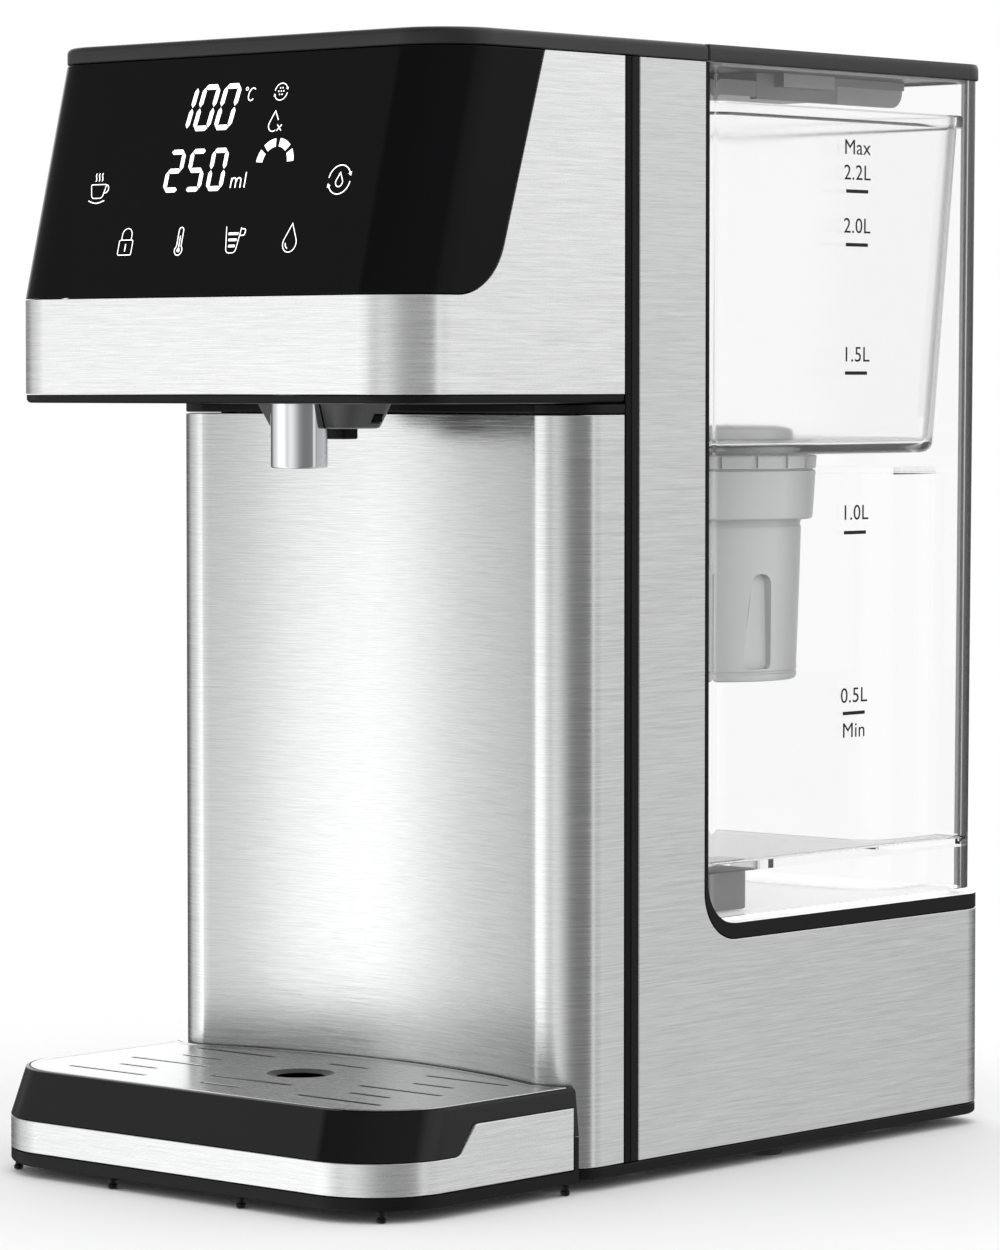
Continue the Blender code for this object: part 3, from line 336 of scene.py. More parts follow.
def carved(solid, *steps):
    """The solid after a row of (operation, other solid) Booleans."""
    made = []
    for shape in (solid, *(other for _, other in steps)):
        mesh = bpy.data.meshes.new("carving")
        shape.to_mesh(mesh)
        shape.free()
        obj = bpy.data.objects.new("carving", mesh)
        bpy.context.collection.objects.link(obj)
        made.append(obj)
    for other, (operation, _) in zip(made[1:], steps):
        modifier = made[0].modifiers.new("carve", "BOOLEAN")
        modifier.operation = operation
        modifier.solver = "EXACT"
        modifier.object = other
    graph = bpy.context.evaluated_depsgraph_get()
    result = bmesh.new()
    result.from_mesh(made[0].evaluated_get(graph).to_mesh())
    for obj in made:
        mesh = obj.data
        bpy.data.objects.remove(obj)
        bpy.data.meshes.remove(mesh)
    bmesh.ops.remove_doubles(result, verts=result.verts, dist=2e-6)
    bmesh.ops.dissolve_degenerate(result, edges=result.edges, dist=2e-6)
    return result


def minus(solid, *others):
    return carved(solid, *(("DIFFERENCE", other) for other in others))


def piece(name, solid, look, slot, body="main", replaces=(), bevel=0.0, angle=35, segments=2):
    """A finished piece: smooth faces, a small rounded edge, a material, and its place in the frame."""
    mesh = bpy.data.meshes.new(name)
    solid.to_mesh(mesh)
    solid.free()
    mesh.materials.append(look)
    mesh.shade_smooth()
    mesh.set_sharp_from_angle(angle=radians(60 if bevel else angle))
    obj = bpy.data.objects.new(name, mesh)
    bpy.context.collection.objects.link(obj)
    if bevel:
        modifier = obj.modifiers.new("rounded edges", "BEVEL")
        modifier.width = bevel
        modifier.segments = segments
        modifier.limit_method = "ANGLE"
        modifier.angle_limit = radians(angle)
    flatten = obj.modifiers.new("flat faces stay flat", "WEIGHTED_NORMAL")
    flatten.keep_sharp = True
    flatten.weight = 80
    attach(obj, body)
    if replaces:
        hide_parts(*replaces)
    return obj


def add_look(obj, look, chosen):
    """Gives one more look to the faces that a test on their centre and normal chooses."""
    obj.data.materials.append(look)
    for face in obj.data.polygons:
        if chosen(*face.center, face.normal):
            face.material_index = len(obj.data.materials) - 1


# Materials

MIDDLE = (0.3, 0.7)


def alike(value):
    """One value three times, as a grey or an even scale."""
    return (value, value, value)


def feed(tree, node, inputs):
    """Links a node's inputs to the sockets given for them, and sets them to the values given."""
    for key, value in inputs.items():
        if isinstance(value, bpy.types.NodeSocket):
            tree.links.new(value, node.inputs[key])
        else:
            node.inputs[key].default_value = value


def add_node(tree, kind, inputs={}, **settings):
    node = tree.nodes.new("ShaderNode" + kind)
    for name, value in settings.items():
        setattr(node, name, value)
    feed(tree, node, inputs)
    return node


def new_look(name, colour, roughness, metallic=0.0):
    material = bpy.data.materials.new(name)
    material.use_nodes = True
    tree = material.node_tree
    shader = tree.nodes["Principled BSDF"]
    feed(tree, shader, {"Base Color": (*colour, 1.0), "Roughness": roughness, "Metallic": metallic})
    return material, tree, shader


def noise_at(tree, stretch, detail=2.0, distortion=0.0, shift=0.0):
    """Noise over object coordinates, stretched by its scale along each axis."""
    place = add_node(tree, "TexCoord").outputs["Object"]
    moved = add_node(tree, "Mapping", {"Vector": place, "Scale": stretch, "Location": alike(shift)})
    inputs = {"Vector": moved.outputs["Vector"], "Scale": 1.0, "Detail": detail, "Distortion": distortion}
    return add_node(tree, "TexNoise", inputs).outputs["Fac"]


def spread(tree, value, low, high):
    """The noise's middle range mapped to low..high."""
    inputs = {"Value": value, "From Min": MIDDLE[0], "From Max": MIDDLE[1], "To Min": low, "To Max": high}
    return add_node(tree, "MapRange", inputs).outputs["Result"]


def tinted(tree, value, dark, light, turns=MIDDLE):
    """A value between two turns, by default the noise's middle range, as a colour from dark to light."""
    node = add_node(tree, "ValToRGB", {"Fac": value})
    for element, position, colour in zip(node.color_ramp.elements, turns, (dark, light)):
        element.position = position
        element.color = (*colour, 1.0)
    return node.outputs["Color"]


def bumped(tree, value, strength, distance):
    inputs = {"Height": value, "Strength": strength, "Distance": distance}
    return add_node(tree, "Bump", inputs).outputs["Normal"]


def facing(tree):
    """0 where a face looks straight back at the ray, and 1 at its silhouette."""
    return add_node(tree, "LayerWeight", {"Blend": 0.5}).outputs["Facing"]


def brushed_steel(name, long_way="XY", tone=0.62, roughness=0.30, anisotropy=0.5, depth=1.0, metallic=1.0):
    """Steel with short wavy brush marks that run along the given axes."""
    material, tree, shader = new_look(name, alike(tone), roughness, metallic)

    def stretch(long_scale, short_scale):
        return tuple(long_scale if axis in long_way else short_scale for axis in "XYZ")

    coarse = noise_at(tree, stretch(42, 2000), 2.0, 0.4)
    fine = noise_at(tree, stretch(110, 4200), 2.0, 0.3, 7.0)
    marks = add_node(tree, "Mix", {"Factor": 0.5, "A": coarse, "B": fine}).outputs["Result"]
    cool = (tone * 0.995, tone, tone * 1.005)
    dark = tuple(c * (1 - 0.17 * depth) for c in cool)
    light = tuple(min(c * (1 + 0.10 * depth), 1.0) for c in cool)
    inputs = {
        "Base Color": tinted(tree, marks, dark, light),
        "Roughness": spread(tree, coarse, roughness - 0.05, roughness + 0.06),
        "Normal": bumped(tree, marks, 0.35 * depth, 0.00006),
    }
    if anisotropy:
        tangent = add_node(tree, "Tangent", direction_type="RADIAL", axis="Z").outputs["Tangent"]
        inputs |= {"Anisotropic": anisotropy, "Anisotropic Rotation": 0.25, "Tangent": tangent}
    feed(tree, shader, inputs)
    return material


def moulded(name, colour, roughness, grain=2400.0, bump=0.12, vary=0.06, specular=0.5, edge=1.0):
    """Moulded plastic or rubber: fine grain in the surface and a slow drift in its tone; an edge below 1
    darkens the colour towards the silhouette as painted shade.
    """
    material, tree, shader = new_look(name, colour, roughness)
    slow = noise_at(tree, alike(22), 3.0)
    fine = noise_at(tree, alike(grain), 1.0)
    dark = tuple(c * (1 - vary) for c in colour)
    light = tuple(min(c * (1 + vary), 1.0) for c in colour)
    tone = tinted(tree, slow, dark, light)
    # Painted shade: with edge below 1, the colour darkens towards the silhouette.
    if edge < 1.0:
        shade = tinted(tree, facing(tree), alike(1.0), alike(edge))
        inputs = {"Factor": 1.0, 6: tone, 7: shade}
        tone = add_node(tree, "Mix", inputs, data_type="RGBA", blend_type="MULTIPLY").outputs[2]
    inputs = {
        "Base Color": tone,
        "Roughness": spread(tree, slow, roughness * 0.92, roughness * 1.10),
        "Specular IOR Level": specular,
        "Normal": bumped(tree, fine, bump, 0.00003),
    }
    feed(tree, shader, inputs)
    return material


def polished(name, colour, roughness, metallic=0.0, specular=0.5):
    """A polished face with faint wipe marks in its roughness."""
    material, tree, shader = new_look(name, colour, roughness, metallic)
    wipe = noise_at(tree, (30, 30, 14), 4.0, 0.8)
    inputs = {
        "Base Color": tinted(tree, wipe, colour, tuple(min(c * 1.1, 1.0) for c in colour)),
        "Roughness": spread(tree, wipe, roughness * 0.7, roughness * 1.5),
        "Specular IOR Level": specular,
    }
    feed(tree, shader, inputs)
    return material


def see_through(name, level, edge, roughness, ior, turns=(0.40, 0.92)):
    """Clear or frosted plastic with a slow ripple, and painted shade: its colour darkens from level to edge
    towards the silhouette, standing in for the dark edges of the walls.
    """
    material, tree, shader = new_look(name, alike(level), roughness)
    ripple = noise_at(tree, (16, 16, 9), 2.0)
    # Painted shade: the colour darkens towards the silhouette.
    inputs = {
        "Base Color": tinted(tree, facing(tree), alike(level), alike(edge), turns),
        "Roughness": spread(tree, ripple, roughness * 0.8, roughness * 1.3),
        "Transmission Weight": 1.0,
        "IOR": ior,
    }
    feed(tree, shader, inputs)
    return material


def lit_print_and_painted_glow(name, level, strength):
    """Glowing white, a little uneven in brightness: lamp-lit marks behind the glass, and painted glow on a
    pad that is no lamp.
    """
    material, tree, shader = new_look(name, alike(level), 0.4)
    uneven = noise_at(tree, alike(160), 1.0)
    shade = tinted(tree, uneven, alike(level * 0.93), alike(level))
    feed(tree, shader, {"Base Color": shade, "Emission Color": shade, "Emission Strength": strength})
    return material


def circuit(name):
    """Green board with a lattice of lighter copper tracks under the lacquer."""
    material, tree, shader = new_look(name, (0.02, 0.12, 0.05), 0.4)
    place = add_node(tree, "TexCoord").outputs["Object"]
    cells = add_node(tree, "TexVoronoi", {"Scale": 260.0, "Vector": place}, distance="MANHATTAN")
    colour = tinted(tree, cells.outputs["Distance"], (0.035, 0.22, 0.09), (0.012, 0.09, 0.04))
    feed(tree, shader, {"Base Color": colour})
    return material


STEEL_BAND = brushed_steel("steel_band_look", tone=0.91, roughness=0.26, metallic=0.85)
STEEL_TRAY = brushed_steel("steel_tray_look", tone=0.84, roughness=0.28, metallic=0.85)
STEEL_COLUMN = brushed_steel("steel_column_look", tone=0.82, roughness=0.23)
STEEL_SIDE = brushed_steel("steel_side_look", tone=0.80, roughness=0.30)
STEEL_PLATE = brushed_steel("steel_plate_look", "X", 0.86, 0.24, 0.0, 0.5)
# Painted shade: a dark copy of the plate steel for the dish round the drain.
DISH_PAINTED_SHADE = brushed_steel("dish_painted_shade_look", "X", 0.30, 0.30, 0.0, 0.4)
CHROME = polished("chrome_look", (0.80, 0.81, 0.82), 0.06, 1.0)
GLASS_BLACK = polished("glass_black_look", (0.004, 0.004, 0.0045), 0.05, specular=0.07)
BEZEL_BLACK = polished("bezel_black_look", (0.004, 0.004, 0.0045), 0.06, specular=0.34)
COVER_BLACK = moulded("cover_black_look", (0.014, 0.014, 0.0145), 0.36)
SATIN_BLACK = moulded("satin_black_look", (0.006, 0.006, 0.0062), 0.30, specular=0.14)
STRIP_BLACK = moulded("strip_black_look", alike(0.003), 0.24, specular=0.10)
# Matt black for the heater caps, and also painted shade on the drip plate's slot and drain walls.
MATT_BLACK_AND_HOLE_SHADE = moulded("matt_black_and_hole_shade_look", (0.016, 0.016, 0.017), 0.55)
DARK_GREY = moulded("dark_grey_look", (0.060, 0.061, 0.063), 0.38)
LID_GREY = moulded("lid_grey_look", alike(0.27), 0.42)
# Painted light: a lighter copy of the lid grey for the lid's lit sides.
LID_PAINTED_LIGHT = moulded("lid_painted_light_look", alike(0.40), 0.42)
GREY = moulded("grey_look", (0.42, 0.43, 0.44), 0.42)
VALVE_GREY = moulded("valve_grey_look", alike(0.16), 0.42)
# Filter grey with painted shade that darkens its sides towards the silhouette.
FILTER_GREY_PAINTED_EDGE_SHADE = moulded("filter_grey_painted_edge_shade_look", (0.62, 0.625, 0.63), 0.36, vary=0.03, edge=0.55)
WHITE = moulded("white_look", (0.78, 0.78, 0.77), 0.42, vary=0.03)
RUBBER = moulded("rubber_look", alike(0.022), 0.78, 1500.0, 0.3)
SILICONE = moulded("silicone_look", (0.70, 0.71, 0.71), 0.5, vary=0.04)
ALUMINIUM = brushed_steel("aluminium_look", tone=0.70, roughness=0.38, anisotropy=0.0, depth=0.6)
# Clear and frosted plastic with painted edge shade; the corner copies are darker, as painted shade on the
# rear corners, and the roof copy keeps only a faint painted edge shade.
CLEAR = see_through("clear_look", 0.995, 0.22, 0.010, 1.33)
CLEAR_PAINTED_SHADE_CORNER = see_through("clear_painted_shade_corner_look", 0.62, 0.07, 0.010, 1.33, (0.10, 0.26))
CLEAR_ROOF = see_through("clear_roof_look", 0.995, 0.90, 0.010, 1.0004)
FROSTED = see_through("frosted_look", 0.995, 0.34, 0.10, 1.30)
FROSTED_PAINTED_SHADE_CORNER = see_through("frosted_painted_shade_corner_look", 0.90, 0.42, 0.10, 1.30, (0.34, 0.60))
BOARD = circuit("board_look")
LIT_WHITE = lit_print_and_painted_glow("display_look", 1.0, 1.1)
# Painted light: the cradle's pad glows a little so it stays white under the tank.
PAD_PAINTED_GLOW = lit_print_and_painted_glow("pad_painted_glow_look", 0.95, 0.30)
PRINT_GREY = moulded("print_grey_look", (0.010, 0.010, 0.0103), 0.5, specular=0.2)

# Base


def make_base():
    low, high = BASE_BOTTOM_Z, BASE_TOP_Z
    plate = stack(
        footprint(),
        *((low, 0.0008), (low + 0.0003, 0.0003), (low + 0.0008, 0.0), (high - 0.0002, 0.0)),
        *((high, 0.0002), (high, 0.0034), (0.0100, 0.0034)),
    )
    corners = [(x, y) for y in (-0.018, 0.095) for x in (-0.060, 0.060)]
    bore = [(0.0036, 0.0), (0.0036, 0.0056), (0.0018, 0.0056), (0.0018, 0.0200)]
    plate = minus(plate, *(turned(bore, (x, y, 0.0), segments=24) for x, y in corners))
    piece("base_plate_moulding", plate, SATIN_BLACK, "black_plastic", replaces=["base_plate"])
    screw = [(0.0026, 0.0035), (0.0031, 0.0038), (0.0033, 0.0044), (0.0033, 0.0053), (0.0014, 0.0053)]
    screw += [(0.0014, 0.0165), (0.0008, 0.0170)]
    long, short = 0.0018, 0.0003
    for index, (x, y) in enumerate(corners):
        head = turned(screw, (x, y, 0.0), segments=32)
        cross = [box(x - a, x + a, y - b, y + b, 0.0, 0.0046) for a, b in ((long, short), (short, long))]
        name = f"base_screw_{index + 1}"
        piece(name + "_cross_head", minus(head, *cross), ALUMINIUM, "aluminium", replaces=[name])
    pad = [(0.0030, 0.0002), (0.0036, 0.0), (0.0050, 0.0), (0.0055, 0.0003), (0.0057, 0.0008)]
    pad.append((0.0060, FOOT_HEIGHT))
    for place, x, y in (("front", 0.045, -0.030), ("middle", 0.0665, 0.038), ("rear", 0.045, 0.115)):
        for hand, side in (("left", -1), ("right", 1)):
            name = f"base_foot_{place}_{hand}"
            foot = turned(pad, (side * x, y, 0.0), segments=40)
            piece(name + "_pad", foot, RUBBER, "rubber", replaces=[name])


# Steel skins, side strips and head


def make_skins():
    column = prism(wall(column_path(), STEEL), SKIN_BOTTOM_Z, COLUMN_TOP_Z - GAP)
    skin = {"bevel": 0.0002, "angle": 40}
    piece("column_steel", column, STEEL_COLUMN, "brushed_steel", replaces=["column_skin"], **skin)
    cap = pillow(column_path(), COLUMN_TOP_Z, UNDERSIDE_BOTTOM_Z - GAP, 0.0005, 0.0002)
    piece("column_cap_moulding", cap, SATIN_BLACK, "black_plastic", replaces=["column_cap"])
    low = SHELF_BOTTOM_Z - GAP
    notch = [(SKIN_REAR_EDGE_Y, low, 0.0140), (0.20, low, 0), (0.20, 0.40, 0), (SKIN_REAR_EDGE_Y, 0.40, 0)]
    rear = minus(
        prism(wall(rear_path(), STEEL), SKIN_BOTTOM_Z, SKIN_TOP_Z),
        prism_along_x(rounded(notch, 20), *ACROSS),
        turned([(0.0072, -0.01), (0.0072, 0.01)], (-0.050, REAR_Y, 0.024), "Y"),
    )
    skin["bevel"] = 0.00022
    piece("rear_steel", rear, STEEL_SIDE, "brushed_steel", replaces=["rear_skin"], **skin)
    seam, chamfer = -0.0326, 0.00022
    section = [(0.0, STRIP_FRONT_Y), (0.0, seam - chamfer), (0.0007, seam), (0.00008, seam + chamfer)]
    section += [(0.00008, STRIP_REAR_Y), (0.0014, STRIP_REAR_Y), (0.0014, STRIP_REAR_Y + 0.0030)]
    section += [(0.0030, STRIP_REAR_Y + 0.0030), (0.0030, STRIP_FRONT_Y)]
    for name, side in (("side_trim_left", -1), ("side_trim_right", 1)):
        outline = [(side * (HALF_WIDTH - depth), y) for depth, y in section]
        strip = prism(outline, SKIN_BOTTOM_Z, SKIN_TOP_Z)
        obj = piece(name + "_strip", strip, SATIN_BLACK, "black_plastic", replaces=[name], bevel=0.0002)
        add_look(obj, STRIP_BLACK, lambda x, y, z, normal: y < seam)


def head_shell():
    """The wall that the steel band and the black glass share, leaning back above the band."""
    low = wall(head_path(HEAD_FRONT_Y), HEAD_WALL)
    high = wall(head_path(HEAD_TOP_FRONT_Y), HEAD_WALL)
    return loft(levels((BAND_BOTTOM_Z + GAP, low), (GLASS_BOTTOM_Z, low), (SKIN_TOP_Z, high)))


def glass_region(edge_gap):
    """Side view of the glass: the front face and the rounded wing on each side."""
    lean = (0.0849 - 0.0682) / (COVER_BOTTOM_Z - 0.2540)
    foot_y = -0.0849 - (0.2540 - GLASS_BOTTOM_Z) * lean - edge_gap
    foot_z = GLASS_BOTTOM_Z + edge_gap
    top_y = foot_y + (0.40 - foot_z) * lean
    return rounded([(-0.20, foot_z, 0), (foot_y, foot_z, 0.0190), (top_y, 0.40, 0), (-0.20, 0.40, 0)], 24)


def make_head():
    band = minus(head_shell(), prism_along_x(glass_region(-GAP / 2), *ACROSS))
    piece("head_steel", band, STEEL_BAND, "brushed_steel", replaces=["head_skin"], bevel=0.00022, angle=40)
    glass = carved(head_shell(), ("INTERSECT", prism_along_x(glass_region(GAP / 2), *ACROSS)))
    edge = {"bevel": 0.00025, "angle": 40}
    piece("control_panel_glass", glass, GLASS_BLACK, "gloss_black", replaces=["control_glass"], **edge)
    low, high = COVER_BOTTOM_Z, COVER_TOP_Z
    cover = stack(
        head_path(HEAD_TOP_FRONT_Y, -GAP),
        *((low - 0.0030, 0.0040), (low, 0.0040), (low, 0.0003), (low + 0.0003, 0.0), (high - 0.0015, 0.0)),
        *((high - 0.0009, 0.00014), (high - 0.0004, 0.0005), (high - 0.0001, 0.0010), (high, 0.0016)),
    )
    piece("top_cover_moulding", cover, COVER_BLACK, "black_plastic", replaces=["top_cover"])
    low = UNDERSIDE_BOTTOM_Z
    rim = (low, 0.0012), (low + 0.0003, 0.0006), (low + 0.0009, 0.0002), (BAND_BOTTOM_Z, 0.0002)
    under = minus(
        stack(head_path(HEAD_FRONT_Y), *rim),
        turned([(0.0086, 0.20), (0.0086, 0.23)], (0, NOZZLE_Y, 0), segments=64),
        box(-0.030, 0.030, -0.043, -0.037, 0.20, 0.23),
    )
    piece("head_underside_moulding", under, SATIN_BLACK, "black_plastic", replaces=["head_underside"])


# Marks on the glass: each is a thin solid in (x, s, h), with s up the leaning face and h out of it

LEAN = atan2(HEAD_TOP_FRONT_Y - HEAD_FRONT_Y, SKIN_TOP_Z - GLASS_BOTTOM_Z)
STROKE = 0.23
MARK_LOW, MARK_HIGH = 0.00001, 0.00006


def on_glass(outline):
    """Two rings on the glass, its own and one above it, from a closed outline in millimetres."""
    rings = []
    for height in (MARK_LOW, MARK_HIGH):
        ring = []
        for x, s in outline:
            up = s / 1000
            y = HEAD_FRONT_Y + up * sin(LEAN) - height * cos(LEAN)
            ring.append((x / 1000, y, GLASS_BOTTOM_Z + up * cos(LEAN) + height * sin(LEAN)))
        rings.append(ring)
    return rings


def fill(outline):
    return loft(on_glass(outline))


def line(path, width=STROKE):
    """An open line of even width."""
    return fill([*beside(path, width / 2), *beside(path, -width / 2)[::-1]])


def ring_line(outline, width=STROKE):
    """A closed line of even width."""
    outer = on_glass(inset(outline, -width / 2))
    inner = on_glass(inset(outline, width / 2))
    return loft([outer[0], outer[1], inner[1], inner[0]], cycle=True)


def turn_arc(cx, cs, radius, start, end, steps=24):
    return arc(cx, cs, radius, radians(start), radians(end), steps)


SEGMENTS = {"0": "abcdef", "1": "bc", "2": "abged", "5": "afgcd"}


def digit(character, cx, base, half, height, thick, slant):
    """One seven-segment digit with pointed segments that lean by slant."""
    t = thick / 2
    gap = 0.16
    middle = base + height / 2
    top = base + height
    flat = {"a": top, "g": middle, "d": base}
    upright = {"f": (-half, middle, top), "e": (-half, base, middle)}
    upright |= {"b": (half, middle, top), "c": (half, base, middle)}
    shapes = []
    for segment in SEGMENTS[character]:
        if segment in flat:
            s = flat[segment]
            left, right = -half + gap, half - gap
            shape = [(left, s), (left + t, s + t), (right - t, s + t), (right, s)]
            shape += [(right - t, s - t), (left + t, s - t)]
        else:
            x, low, high = upright[segment]
            low, high = low + gap, high - gap
            shape = [(x, low), (x + t, low + t * 1.3), (x + t, high - t * 1.3), (x, high)]
            shape += [(x - t, high - t * 1.3), (x - t, low + t * 1.3)]
        shapes.append(fill([(cx + x + slant * (s - base), s) for x, s in shape]))
    return shapes


def drop(cx, tip, centre, radius):
    """A drop: a circle drawn up to a point."""
    reach = tip - centre
    angle = acos(radius / reach) * 180 / pi
    return [(cx, tip), *turn_arc(cx, centre, radius, 90 - angle, 90 + angle - 360, 40)]


def arrow(cx, cs, radius, degrees, size):
    """A filled head at the end of a clockwise arc."""
    a = radians(degrees)
    x, s = cx + radius * cos(a), cs + radius * sin(a)
    ahead = Vector((sin(a), -cos(a))) * size
    out = Vector((cos(a), sin(a))) * size * 0.62
    return fill([(x + ahead.x, s + ahead.y), (x + out.x, s + out.y), (x - out.x, s - out.y)])


def cycle_arrows(cx, cs, radius, size, width):
    spans = ((172, 24), (-8, -156))
    parts = [line(turn_arc(cx, cs, radius, *span), width) for span in spans]
    return parts + [arrow(cx, cs, radius, span[1] + 4, size) for span in spans]


def moved(outline, dx, ds):
    return [(x + dx, s + ds) for x, s in outline]


def make_display():
    marks = {}
    for name, text, left, base, height, half, pitch, thick, slant in (
        ("temperature", "100", -17.05, 47.0, 11.5, 2.55, 8.05, 1.45, 0.155),
        ("volume", "250", -16.45, 29.95, 10.6, 2.45, 8.2, 1.35, 0.035),
    ):
        for index, character in enumerate(text):
            shapes = digit(character, left + pitch * index, base, half, height, thick, slant)
            marks[f"display_{name}_digit_{index + 1}"] = shapes
    turns = [radians(48 + 5 * i) for i in range(54)]
    big_c = [(8.35 + 1.25 * cos(a) + 0.25 * sin(a), 55.9 + 1.75 * sin(a)) for a in turns]
    marks["display_degree_c"] = [ring_line(moved(circle(0.42, 24), 6.2, 57.5), 0.2), line(big_c, 0.3)]
    stems = [line([(6.2, 29.95), (6.2, 32.75)], 0.34)]
    for x in (6.2, 8.05):
        bow = turn_arc(x + 0.925, 31.9, 0.8, 165, 0, 10)
        stems.append(line([(x + 0.1, 31.6), *bow, (x + 1.75, 29.95)], 0.34))
    marks["display_ml"] = [*stems, line([(11.35, 29.95), (11.35, 34.2)], 0.36)]
    dots = [(-0.45, 1.05), (0.45, 1.05), (-0.95, 0.15), (0.0, 0.15), (0.95, 0.15)]
    dots += [(-0.45, -0.75), (0.45, -0.75)]
    marks["icon_filter_cycle"] = cycle_arrows(19.15, 56.2, 2.35, 0.70, 0.24)
    marks["icon_filter_cycle"] += [fill(moved(circle(0.21, 14), 19.15 + x, 56.2 + s)) for x, s in dots]
    tail = drop(18.35, 50.9, 47.0, 1.75)
    marks["icon_no_water"] = [line([(19.9, 48.4), *tail[:1], *tail[:0:-1][:27]], 0.27)]
    for rise in (0.8, -0.8):
        marks["icon_no_water"].append(line([(20.7 - 0.8, 46.2 - rise), (20.7 + 0.8, 46.2 + rise)], 0.30))
    for index, (start, end) in enumerate([(176, 146), (134, 97), (83, 46), (34, 4)]):
        sector = [*turn_arc(21.2, 36.4, 6.9, start, end, 10), *turn_arc(21.2, 36.4, 4.6, end, start, 10)]
        marks[f"display_gauge_{index + 1}"] = [fill(sector)]
    marks["icon_rinse_cycle"] = cycle_arrows(46.3, 31.2, 3.95, 1.0, 0.28)
    marks["icon_rinse_cycle"].append(ring_line(drop(46.3, 33.1, 30.5, 1.25), 0.27))
    bowl = rounded([(-3.0, 2.0, 0.3), (3.0, 2.0, 0.3), (2.05, -1.9, 1.2), (-2.05, -1.9, 1.2)], 8)
    saucer = [(-3.1 + 0.31 * i, -2.55 - 0.75 * sin(pi * i / 20)) for i in range(21)]
    parts = [bowl, saucer, turn_arc(2.85, 0.75, 1.15, 75, -105)]
    for x in (-1.5, -0.3, 0.9):
        parts.append([(x + 0.2 * sin(2 * pi * i / 12), 2.9 + 2.3 * i / 12) for i in range(13)])
    parts = [moved(path, -44.9, 30.2) for path in parts]
    marks["icon_hot_cup"] = [ring_line(parts[0]), *(line(path, 0.27) for path in parts[1:])]
    lock_x = -30.25
    shackle = [(lock_x - 1.85, 16.3), *turn_arc(lock_x, 17.6, 1.85, 180, 0), (lock_x + 1.85, 16.3)]
    marks["icon_lock"] = [
        ring_line(box_outline(lock_x - 2.6, lock_x + 2.6, 12.0, 16.2, 0.5)),
        line(shackle),
        line([(lock_x, 13.0), (lock_x, 15.1)], 0.34),
    ]
    warm_x, stem, bulb = -9.5, 0.85, 1.4
    bulb_angle = 90 - acos(sqrt(1 - (stem / bulb) ** 2)) * 180 / pi
    outline = turn_arc(warm_x, 13.0, bulb, bulb_angle, 180 - bulb_angle - 360, 40)
    marks["icon_thermometer"] = [
        ring_line(outline + turn_arc(warm_x, 18.5, stem, 180, 0), 0.26),
        line([(warm_x, 13.0), (warm_x, 17.0)], 0.28),
        fill(moved(circle(0.55, 24), warm_x, 13.0)),
    ]
    body = rounded([(7.5, 19.2, 0), (8.75, 11.9, 1.3), (12.2, 11.9, 1.3), (13.2, 18.9, 0)], 8)
    handle = rounded([(13.1, 18.5, 0), (15.0, 18.5, 0.6), (14.6, 16.7, 0.6), (12.9, 16.7, 0)], 8)
    marks["icon_measuring_cup"] = [line(body), line(handle, 0.27)]
    for x0, x1, s in ((8.7, 12.3, 17.2), (9.0, 12.0, 15.5), (9.3, 11.7, 13.8)):
        marks["icon_measuring_cup"].append(line([(x0, s), (x1, s)], 0.68))
    shine = line(turn_arc(31.95, 14.2, 1.5, 178, 248), 0.28)
    marks["icon_water_drop"] = [ring_line(drop(31.95, 19.6, 14.2, 2.45)), shine]
    for name, solids in marks.items():
        piece(name, merged(*solids), LIT_WHITE, "white_plastic")


# Spout


def make_spout():
    low, outer, inner = NOZZLE_BOTTOM_Z, NOZZLE_RADIUS, NOZZLE_RADIUS - 0.0014
    tube = [(inner + 0.0003, low), (outer - 0.0005, low), (outer - 0.0002, low + 0.0002)]
    tube += [(outer, low + 0.0006), (outer, 0.2220), (inner, 0.2220), (inner, low + 0.0004)]
    tube = turned(tube, (0, NOZZLE_Y, 0), segments=96, hollow=True)
    piece("nozzle_tube", tube, CHROME, "chrome", replaces=["nozzle"])
    low = box_outline(-0.0160, 0.0160, -0.0805, -0.0635, 0.0050, 12)
    high = box_outline(-0.0190, 0.0190, -0.0825, -0.0620, 0.0060, 12)
    foot = (0.2064, inset(low, 0.0012)), (0.2067, inset(low, 0.0004)), (0.2073, low)
    shroud = minus(
        loft(levels(*foot, (UNDERSIDE_BOTTOM_Z - GAP, high))),
        turned([(outer + GAP, 0.19), (outer + GAP, 0.23)], (0, NOZZLE_Y, 0), segments=64),
        box(-0.0046, 0.0046, -0.0693, -0.0627, 0.20, 0.2100),
        box(0.0150, 0.0250, -0.0710, -0.0670, 0.2078, 0.2105),
    )
    piece("nozzle_shroud_moulding", shroud, DARK_GREY, "grey_plastic", replaces=["nozzle_shroud"])
    sensor = pillow(box_outline(-0.0043, 0.0043, -0.0690, -0.0630, 0.0009), 0.2034, 0.2097, 0.0005, 0.0)
    piece("nozzle_sensor_block", sensor, SATIN_BLACK, "black_plastic", replaces=["nozzle_sensor"])
    window = box(0.0153, 0.0172, -0.0707, -0.0673, 0.2081, 0.2102)
    piece("sensor_window_pane", window, GLASS_BLACK, "gloss_black", replaces=["sensor_window"], bevel=0.0002)


# Cradle behind the column, socket and gland


def cradle_profile(front_y, lip_radius):
    """Side view of the wall in front of the tank and the shelf under it."""
    back_y = CRADLE_BACK_Y
    corners = [(front_y, SHELF_BOTTOM_Z, 0.0137), (0.20, SHELF_BOTTOM_Z, 0), (0.20, SHELF_TOP_Z, 0)]
    corners += [(back_y, SHELF_TOP_Z, lip_radius), (back_y, SKIN_TOP_Z, 0), (front_y, SKIN_TOP_Z, 0)]
    return rounded(corners, 20)


